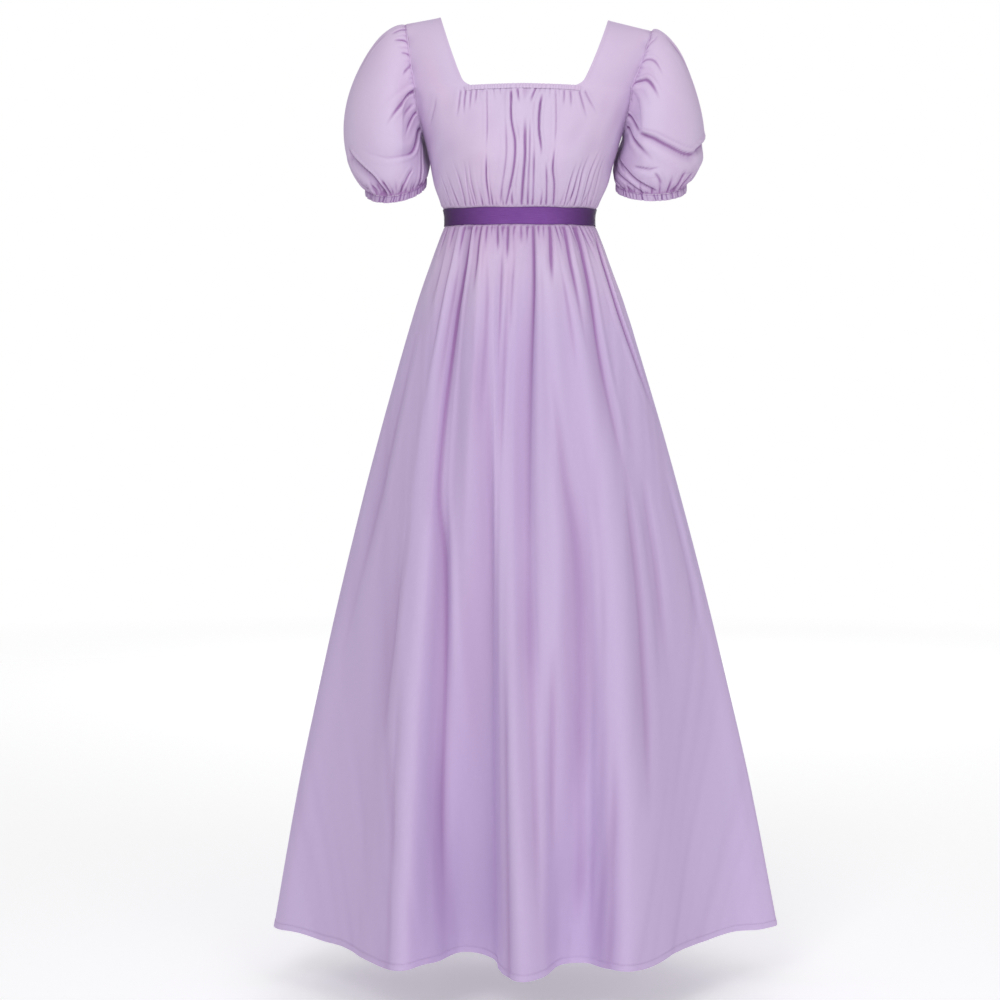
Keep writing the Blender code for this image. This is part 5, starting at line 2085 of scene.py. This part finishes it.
@dataclass
class StitchRun:
    """One run of small stitches that lies on the cloth.

    Attributes:
        line: Points of its route on the cloth's outer face.
        outward: The cloth's outward direction at each of them.
        pitch: Length from one stitch to the next.
        stitch: Length of a stitch.
        lead: Share of the pitch before the first one.
    """

    line: Array
    outward: Array
    pitch: float = 3.6
    stitch: float = 2.5
    lead: float = 0.15
    radius: float = 0.24
    sides: int = 5
    rings: tuple[StitchRing, ...] = (
        StitchRing(0.0, -0.16, 0.55), StitchRing(0.18, 0.10, 1.0), StitchRing(0.5, 0.20, 1.05),
        StitchRing(0.82, 0.10, 1.0), StitchRing(1.0, -0.16, 0.55),
    )

    def build(self, name: str, material: bpy.types.Material) -> bpy.types.Object:
        """Make the stitches as one piece of small tubes.

        Args:
            name: Name of the piece.
            material: The thread.

        Returns:
            The new object.
        """
        lengths = lengths_along(self.line)
        number = int(lengths[-1] / self.pitch)
        starts = (np.arange(number) + self.lead) * lengths[-1] / number
        shares, lifts, sizes = (np.array(column) for column in zip(*self.rings))
        at = starts[:, None] + self.stitch * shares
        out = unit(read_line(self.outward, lengths, at))
        centre = read_line(self.line, lengths, at) + out * lifts[:, None]
        along = unit(centre[:, -1:] - centre[:, :1])
        aside = unit(np.cross(along, out))
        turn = np.arange(self.sides) * 2 * math.pi / self.sides
        ring = (aside[:, :, None] * np.cos(turn)[:, None]
                + out[:, :, None] * np.sin(turn)[:, None]) * (self.radius * sizes)[:, None, None]
        points = (centre[:, :, None] + ring).reshape(-1, 3)
        first = np.arange(self.sides)
        after = (first + 1) % self.sides
        tube = np.vstack([np.stack((first, after, after + self.sides, first + self.sides), -1)
                          + index * self.sides for index in range(len(shares) - 1)])
        offsets = np.arange(number)[:, None, None] * len(shares) * self.sides
        return make_mesh(name, points * MM, (tube[None] + offsets).reshape(-1, 4), material)


# ---------------------------------------------------------------------------
# Finishes
# ---------------------------------------------------------------------------

class Wire:
    """A node's output that can be used in sums and products."""

    def __init__(self, book: "NodeBook", socket: bpy.types.NodeSocket) -> None:
        """Keep the socket and the book that it belongs to."""
        self.book = book
        self.socket = socket

    def maths(self, operation: str, *values: Any) -> "Wire":
        """Add a Math node on values."""
        return self.book.node("ShaderNodeMath", {"operation": operation},
                              dict(enumerate(values)))

    def __add__(self, other: Any) -> "Wire":
        """Sum."""
        return self.maths("ADD", self, other)

    def __radd__(self, other: Any) -> "Wire":
        """Sum, reflected."""
        return self.maths("ADD", other, self)

    def __sub__(self, other: Any) -> "Wire":
        """Difference."""
        return self.maths("SUBTRACT", self, other)

    def __rsub__(self, other: Any) -> "Wire":
        """Difference, reflected."""
        return self.maths("SUBTRACT", other, self)

    def __mul__(self, other: Any) -> "Wire":
        """Product."""
        return self.maths("MULTIPLY", self, other)

    def __rmul__(self, other: Any) -> "Wire":
        """Product, reflected."""
        return self.maths("MULTIPLY", other, self)

    def sine(self) -> "Wire":
        """Sine of the value."""
        return self.maths("SINE", self)

    def size(self) -> "Wire":
        """Absolute value."""
        return self.maths("ABSOLUTE", self)


class NodeBook:
    """The nodes of one material, made from typed expressions."""

    def __init__(self, name: str) -> None:
        """Start a material that holds only its Principled shader.

        Args:
            name: Name of the material.
        """
        self.material = bpy.data.materials.new(name)
        self.material.use_nodes = True
        self.tree = self.material.node_tree
        self.shader = self.tree.nodes["Principled BSDF"]

    def node(self, kind: str, settings: Optional[dict] = None, values: Optional[dict] = None,
             output: Any = 0) -> Wire:
        """Add any node.

        Args:
            kind: The node's type.
            settings: Its settings, which are set first.
            values: Numbers, colours or wires, by socket.
            output: The socket to return.

        Returns:
            The output as a wire.
        """
        node = self.tree.nodes.new(kind)
        for key, value in (settings or {}).items():
            setattr(node, key, value)
        for key, value in (values or {}).items():
            self.join(node.inputs[key], value)
        return Wire(self, node.outputs[output])

    def join(self, socket: bpy.types.NodeSocket, value: Any) -> None:
        """Set a socket's own value, or link a wire to it.

        Args:
            socket: The socket.
            value: A number, a colour or a wire.
        """
        if isinstance(value, Wire):
            self.tree.links.new(value.socket, socket)
        else:
            socket.default_value = value

    def place(self) -> tuple[Wire, Wire]:
        """The cloth's own place, in metres across and along it.

        Returns:
            The place across and the place along, as wires.
        """
        flat = self.node("ShaderNodeUVMap", {"uv_map": CLOTH_MAP})
        split = self.node("ShaderNodeSeparateXYZ", values={0: flat})
        return split, Wire(self, split.socket.node.outputs[1])

    def layer(self, name: str) -> Wire:
        """A layer of values that the mesh carries."""
        return self.node("ShaderNodeAttribute", {"attribute_name": name}, output="Fac")

    def noise(self, vector: Wire, scale: float, detail: float = 2.0) -> Wire:
        """Soft noise from 0 to 1."""
        return self.node("ShaderNodeTexNoise", values={"Vector": vector, "Scale": scale,
                                                       "Detail": detail})

    def spread(self, across: Wire, along: Wire, scale_across: float, scale_along: float) -> Wire:
        """The cloth's place as a vector, with its own scale each way."""
        return self.node("ShaderNodeCombineXYZ",
                         values={0: across * scale_across, 1: along * scale_along})

    def blend(self, share: Any, first: Any, second: Any, mode: str = "MIX") -> Wire:
        """Mix two colours."""
        return self.node("ShaderNodeMix", {"data_type": "RGBA", "blend_type": mode},
                         {"Factor": share, 6: first, 7: second}, 2)

    def range(self, value: Wire, low: float, high: float, first: float, last: float) -> Wire:
        """Carry a value from one range to another, and stop at its ends."""
        return self.node("ShaderNodeMapRange", values={0: value, 1: low, 2: high, 3: first,
                                                       4: last})

    def bump(self, height: Wire, strength: float, distance: float) -> Wire:
        """A normal that a height turns."""
        return self.node("ShaderNodeBump", values={"Strength": strength, "Distance": distance,
                                                   "Height": height})

    def finish(self, values: dict) -> bpy.types.Material:
        """Set or link the shader's sockets.

        Args:
            values: Numbers, colours or wires, by socket.

        Returns:
            The finished material.
        """
        for key, value in values.items():
            self.join(self.shader.inputs[key], value)
        return self.material


def linear(red: int, green: int, blue: int) -> tuple[float, float, float, float]:
    """Linear colour from display levels of 0 to 255.

    Args:
        red: Level of red.
        green: Level of green.
        blue: Level of blue.

    Returns:
        Linear shares of red, green and blue, and an opacity of 1.
    """
    def level(value: int) -> float:
        """One channel."""
        share = value / 255
        return share / 12.92 if share <= 0.04045 else ((share + 0.055) / 1.055) ** 2.4
    return level(red), level(green), level(blue), 1.0


@dataclass(frozen=True)
class PlainCloth:
    """Smooth, finely woven matt cloth with a soft sheen.

    Attributes:
        name: Name of the material.
        light: Its colour where it lies open.
        shade: Its colour deep in a crease, as painted shade.
        warm: A slightly pinker tone that drifts through it.
        cool_light: The skirt's colour in painted cooler light.
        roughness: Roughness of the open cloth.
    """

    name: str
    light: tuple[float, float, float, float]
    shade: tuple[float, float, float, float]
    warm: tuple[float, float, float, float]
    cool_light: tuple[float, float, float, float] = linear(200, 179, 219)
    roughness: float = 0.66
    weave_pitch: float = 0.00055
    sheen: float = 0.17

    def material(self) -> bpy.types.Material:
        """Make the material.

        Returns:
            The cloth's material.
        """
        book = NodeBook(self.name)
        across, along = book.place()
        drift = book.noise(book.spread(across, along, 1.0, 0.55), 7.0)
        warp = book.noise(book.spread(across, along, 1400.0, 45.0), 1.0, 3.0)
        weft = book.noise(book.spread(across, along, 40.0, 1300.0), 1.0, 3.0)
        mottle = book.noise(book.spread(across, along, 1.0, 1.0), 160.0, 3.0)
        depth = book.range(book.layer(PAINTED_SHADE_LAYER), 0.0, 1.0, 0.0, 0.9)
        open_cloth = book.blend(book.range(drift, 0.40, 0.66, 0.0, 0.55), self.light, self.warm)
        # Painted cooler light over the skirt's open cloth
        cool_light_share = book.range(book.layer(COOL_LIGHT_LAYER), 0.0, 1.0, 0.0, 0.88)
        open_cloth = book.blend(cool_light_share, open_cloth, self.cool_light)
        # Painted shade: darker towards the shade colour as the painted shade layer grows
        colour = book.blend(depth, open_cloth, self.shade)
        threads = (warp - 0.5) * 0.22 + (weft - 0.5) * 0.16 + (mottle - 0.5) * 0.14
        colour = book.blend(book.range(threads, -0.12, 0.12, 0.0, 0.16), colour,
                            (0.93, 0.90, 0.96, 1.0), "SOFT_LIGHT")
        turns = 2 * math.pi / self.weave_pitch
        over = (across * turns).sine().size()
        under = (along * turns).sine().size()
        height = over * under * 0.35 + warp * 0.35 + weft * 0.3 + mottle * 0.4
        return book.finish({
            "Base Color": colour,
            "Roughness": book.range(mottle, 0.3, 0.7, self.roughness - 0.04,
                                    self.roughness + 0.05),
            "Sheen Weight": self.sheen,
            "Sheen Roughness": 0.45,
            "Sheen Tint": (0.80, 0.62, 1.0, 1.0),
            "Specular IOR Level": 0.14,
            "Normal": book.bump(height, 0.35, 0.00012),
        })


@dataclass(frozen=True)
class Satin:
    """Dark, smooth satin ribbon with a fine rib across it.

    Attributes:
        name: Name of the material.
        body: Its colour.
        bright: Its colour along the lighter threads.
        deep: Its painted shade where it turns away at the sides.
    """

    name: str
    body: tuple[float, float, float, float]
    bright: tuple[float, float, float, float]
    deep: tuple[float, float, float, float]
    roughness: float = 0.42
    lustre: float = 0.1
    rib_pitch: float = 0.0007

    def material(self) -> bpy.types.Material:
        """Make the material.

        Returns:
            The ribbon's material.
        """
        book = NodeBook(self.name)
        across, along = book.place()
        threads = book.noise(book.spread(across, along, 60.0, 2600.0), 1.0, 3.0)
        cloud = book.noise(book.spread(across, along, 1.0, 1.0), 26.0)
        selvedge = book.range((along - 0.0125).size(), 0.0111, 0.0121, 0.0, 0.35)
        colour = book.blend(book.range(threads, 0.35, 0.65, 0.0, 1.0), self.body, self.bright)
        # Painted shade towards the sides, where the band turns away
        side = book.range(book.layer(PAINTED_SHADE_LAYER), 0.1, 1.0, 0.0, 0.8)
        colour = book.blend(side, colour, self.deep)
        colour = book.blend(selvedge, colour, (0.03, 0.012, 0.05, 1.0))
        ribs = (across * (2 * math.pi / self.rib_pitch)).sine()
        height = threads * 0.6 + ribs * 0.12 + cloud * 0.5
        return book.finish({
            "Base Color": colour,
            "Roughness": book.range(cloud, 0.3, 0.7, self.roughness - 0.03,
                                    self.roughness + 0.05),
            "Metallic": self.lustre,
            "Specular IOR Level": 0.08,
            "Normal": book.bump(height, 0.3, 0.00012),
        })


@dataclass(frozen=True)
class Thread:
    """Fine sewing thread in the cloth's own tone.

    Attributes:
        name: Name of the material.
        body: Its colour.
    """

    name: str
    body: tuple[float, float, float, float]

    def material(self) -> bpy.types.Material:
        """Make the material.

        Returns:
            The thread's material.
        """
        book = NodeBook(self.name)
        spot = book.node("ShaderNodeTexCoord", output="Object")
        fibre = book.noise(spot, 2400.0)
        colour = book.blend(book.range(fibre, 0.3, 0.7, 0.0, 1.0), self.body,
                            tuple(0.82 * part for part in self.body[:3]) + (1.0,))
        return book.finish({
            "Base Color": colour,
            "Roughness": book.range(fibre, 0.3, 0.7, 0.5, 0.62),
            "Normal": book.bump(fibre, 0.3, 0.0001),
        })


# ---------------------------------------------------------------------------
# Studio
# ---------------------------------------------------------------------------

@dataclass(frozen=True)
class Lamp:
    """A soft area light.

    Attributes:
        name: Its name.
        place: Where it stands, in metres.
        aim: What it points at.
        size: Side of its square, in metres.
        power: Its power, in watts.
    """

    name: str
    place: tuple[float, float, float]
    aim: tuple[float, float, float]
    size: float
    power: float

    def build(self) -> bpy.types.Object:
        """Make the light.

        Returns:
            The new light.
        """
        lamp = bpy.data.lights.new(self.name, "AREA")
        lamp.size = self.size
        lamp.energy = self.power
        item = link(self.name, lamp)
        item.location = self.place
        item.rotation_euler = look_along(self.place, self.aim)
        return item


def look_along(place: Sequence[float], aim: Sequence[float]) -> tuple[float, float, float]:
    """Turns that point an object's own -Z from one place to another.

    Args:
        place: Where the object stands.
        aim: What it points at.

    Returns:
        Euler turns.
    """
    away = [end - start for start, end in zip(place, aim)]
    flat = math.hypot(away[0], away[1])
    return math.atan2(flat, -away[2]), 0.0, math.atan2(-away[0], away[1])


@dataclass
class Studio:
    """Plain pale floor, soft light and the camera."""

    floor_drop: float = 1.45
    floor_reach: float = 9.0
    floor_colour: tuple[float, float, float, float] = (0.86, 0.86, 0.87, 1.0)
    floor_glow: float = 0.32
    world_colour: tuple[float, float, float, float] = (1.0, 1.0, 1.0, 1.0)
    world_strength: float = 0.47
    dome_radius: float = 24.0
    camera_place: tuple[float, float, float] = (-0.033, -3.9915, -0.456)
    camera_tilt: float = 86.27
    lens: float = 96.0
    lamps: tuple[Lamp, ...] = (
        Lamp("key_light", (-1.1, -4.0, 1.5), (0.0, 0.0, -0.62), 1.4, 42.0),
        Lamp("fill_light", (1.9, -3.5, -0.2), (0.0, 0.0, -0.75), 2.4, 28.0),
        Lamp("top_light", (0.0, -1.0, 0.9), (0.0, 0.0, 0.0), 1.3, 5.6),
        Lamp("back_light", (0.3, 4.2, 0.6), (0.0, 0.0, -0.7), 2.6, 46.0),
    )

    def build(self) -> None:
        """Make the floor, the world, the lights and the camera."""
        scene = bpy.context.scene
        self.build_floor()
        self.build_dome()
        world = bpy.data.worlds.new("studio_world")
        world.use_nodes = True
        background = world.node_tree.nodes["Background"]
        background.inputs["Color"].default_value = self.world_colour
        background.inputs["Strength"].default_value = self.world_strength
        scene.world = world
        for lamp in self.lamps:
            lamp.build()
        data = bpy.data.cameras.new("camera")
        data.lens = self.lens
        data.clip_end = 60
        camera = link("camera", data)
        camera.location = self.camera_place
        camera.rotation_euler = (math.radians(self.camera_tilt), 0, 0)
        scene.camera = camera
        scene.view_settings.view_transform = "Standard"
        scene.view_settings.look = "None"

    def build_dome(self) -> None:
        """Make the white backdrop all round, which lights nothing."""
        mesh = bpy.data.meshes.new("backdrop")
        form = bmesh.new()
        bmesh.ops.create_uvsphere(form, u_segments=48, v_segments=24, radius=self.dome_radius)
        form.to_mesh(mesh)
        form.free()
        book = NodeBook("backdrop_paper")
        glow = book.node("ShaderNodeEmission", values={"Color": (1.0, 1.0, 1.0, 1.0)})
        book.join(book.tree.nodes["Material Output"].inputs["Surface"], glow)
        mesh.materials.append(book.material)
        dome = link("backdrop", mesh)
        for kind in ("diffuse", "glossy", "transmission", "volume_scatter", "shadow"):
            setattr(dome, f"visible_{kind}", False)

    def build_floor(self) -> None:
        """Make the pale floor, which fades out far from the gown."""
        reach = self.floor_reach
        corners = np.array([(x, y, -self.floor_drop)
                            for x, y in ((-reach, -reach), (reach, -reach), (reach, reach),
                                         (-reach, reach))])
        book = NodeBook("floor_paper")
        spot = book.node("ShaderNodeTexCoord", output="Object")
        grain = book.noise(spot, 90.0, 3.0)
        floor = make_mesh("floor", corners, np.array(((0, 1, 2, 3),)), book.finish({
            "Base Color": book.blend(book.range(grain, 0.3, 0.7, 0.0, 0.03), self.floor_colour,
                                     (0.8, 0.8, 0.8, 1.0)),
            "Roughness": 0.9,
            "Specular IOR Level": 0.1,
            "Emission Color": (1.0, 1.0, 1.0, 1.0),
            "Emission Strength": self.floor_glow,
        }))
        length = book.node("ShaderNodeVectorMath", {"operation": "LENGTH"}, {0: spot}, 1)
        fade = book.range(length, reach * 0.18, reach * 0.6, 0.0, 1.0)
        clear = book.node("ShaderNodeBsdfTransparent")
        mixed = book.node("ShaderNodeMixShader", values={0: fade, 2: clear})
        book.tree.links.new(book.shader.outputs[0], mixed.socket.node.inputs[1])
        book.tree.links.new(mixed.socket, book.tree.nodes["Material Output"].inputs["Surface"])


# ---------------------------------------------------------------------------
# The gown
# ---------------------------------------------------------------------------

class Cut(NamedTuple):
    """The flat cut of what shows of a piece, in metres."""

    width: float
    length: float
    held: Held
    rests_on: tuple[str, ...] = ()
    area: Optional[float] = None


def declare(piece: bpy.types.Object, name: str,
            trims: Sequence[bpy.types.Object] = ()) -> None:
    """Hang a sheet of cloth and its trims from the root, hide the part it stands for, log its
    triangles.

    Args:
        piece: The sheet.
        name: The node that it stands for.
        trims: Separate pieces that lie on it.
    """
    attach(piece, "root")
    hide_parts(name)
    for trim in trims:
        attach(trim, "root")
    faces = sum(len(face.vertices) - 2 for face in piece.data.polygons)
    log.info("%s: %d triangles", name, faces)


def main() -> None:
    """Build and dress every piece of the gown."""
    logging.basicConfig(level=logging.INFO, format="%(name)s: %(message)s", force=True)
    # The second colour of each cloth is its painted shade in creases and hollows
    gown_cloth = PlainCloth(GOWN, linear(208, 189, 219), linear(148, 104, 160),
                            linear(212, 186, 216)).material()
    casing_cloth = PlainCloth(CASING, linear(206, 187, 217), linear(138, 98, 154),
                              linear(209, 183, 213)).material()
    # The satin's last colour is its painted shade at the sides
    satin = Satin(SATIN, linear(114, 66, 142), linear(130, 82, 158),
                  linear(30, 20, 38)).material()
    thread = Thread("sewing_thread", linear(196, 170, 210)).material()

    form = WornForm()
    front = BodicePanel("bodice_front", form, True, 432, 80, (60, 150), 28, FRONT_CREASES,
                        FRONT_WAIST_GATHERS, FRONT_NECK_GATHERS)
    declare(front.build(gown_cloth), front.name)
    back = BodicePanel("bodice_back", form, False, 300, 66, (42, 100), 26, BACK_CREASES,
                       BACK_WAIST_GATHERS, (), cloth_width=0.56)
    declare(back.build(gown_cloth), back.name)
    casing = NeckCasing(form)
    declare(casing.build(casing_cloth), casing.name)
    ribbon = WaistRibbon(form)
    declare(ribbon.build(satin), ribbon.name)

    hanging = SkirtForm(form)
    panels = (
        SkirtPanel("skirt_front", hanging, True, 360, SKIRT_FRONT_CREASES, SKIRT_FRONT_GATHERS,
                   31),
        SkirtPanel("skirt_back", hanging, False, 330, SKIRT_BACK_CREASES, SKIRT_BACK_GATHERS,
                   47),
    )
    for panel in panels:
        piece = panel.build(gown_cloth)
        run = StitchRun(*panel.hem_line(STITCH_HEIGHT))
        stitches = run.build(panel.name.replace("skirt", "hem_stitches"), thread)
        declare(piece, panel.name, (stitches,))
        log.info("%s: hem %.0f mm, waist %.0f mm", panel.name, panel.lengths[0],
                 panel.lengths[-1])

    for number, side in enumerate(("left", "right")):
        sleeve = Sleeve(f"sleeve_{side}", form, STRAPS[side], CUFF_RINGS[side],
                        SLEEVE_GUIDES[side], SLEEVE_CREASES[side], 61 + 10 * number)
        declare(sleeve.build(gown_cloth), sleeve.name)
        cuff = Cuff(f"cuff_{side}", CUFF_RINGS[side], 3 + number, lean=0.25 - 0.5 * number,
                    plain_shade=0.42 - 0.18 * number)
        declare(cuff.build(casing_cloth), cuff.name)

    Studio().build()


if __name__ == "__main__":
    main()
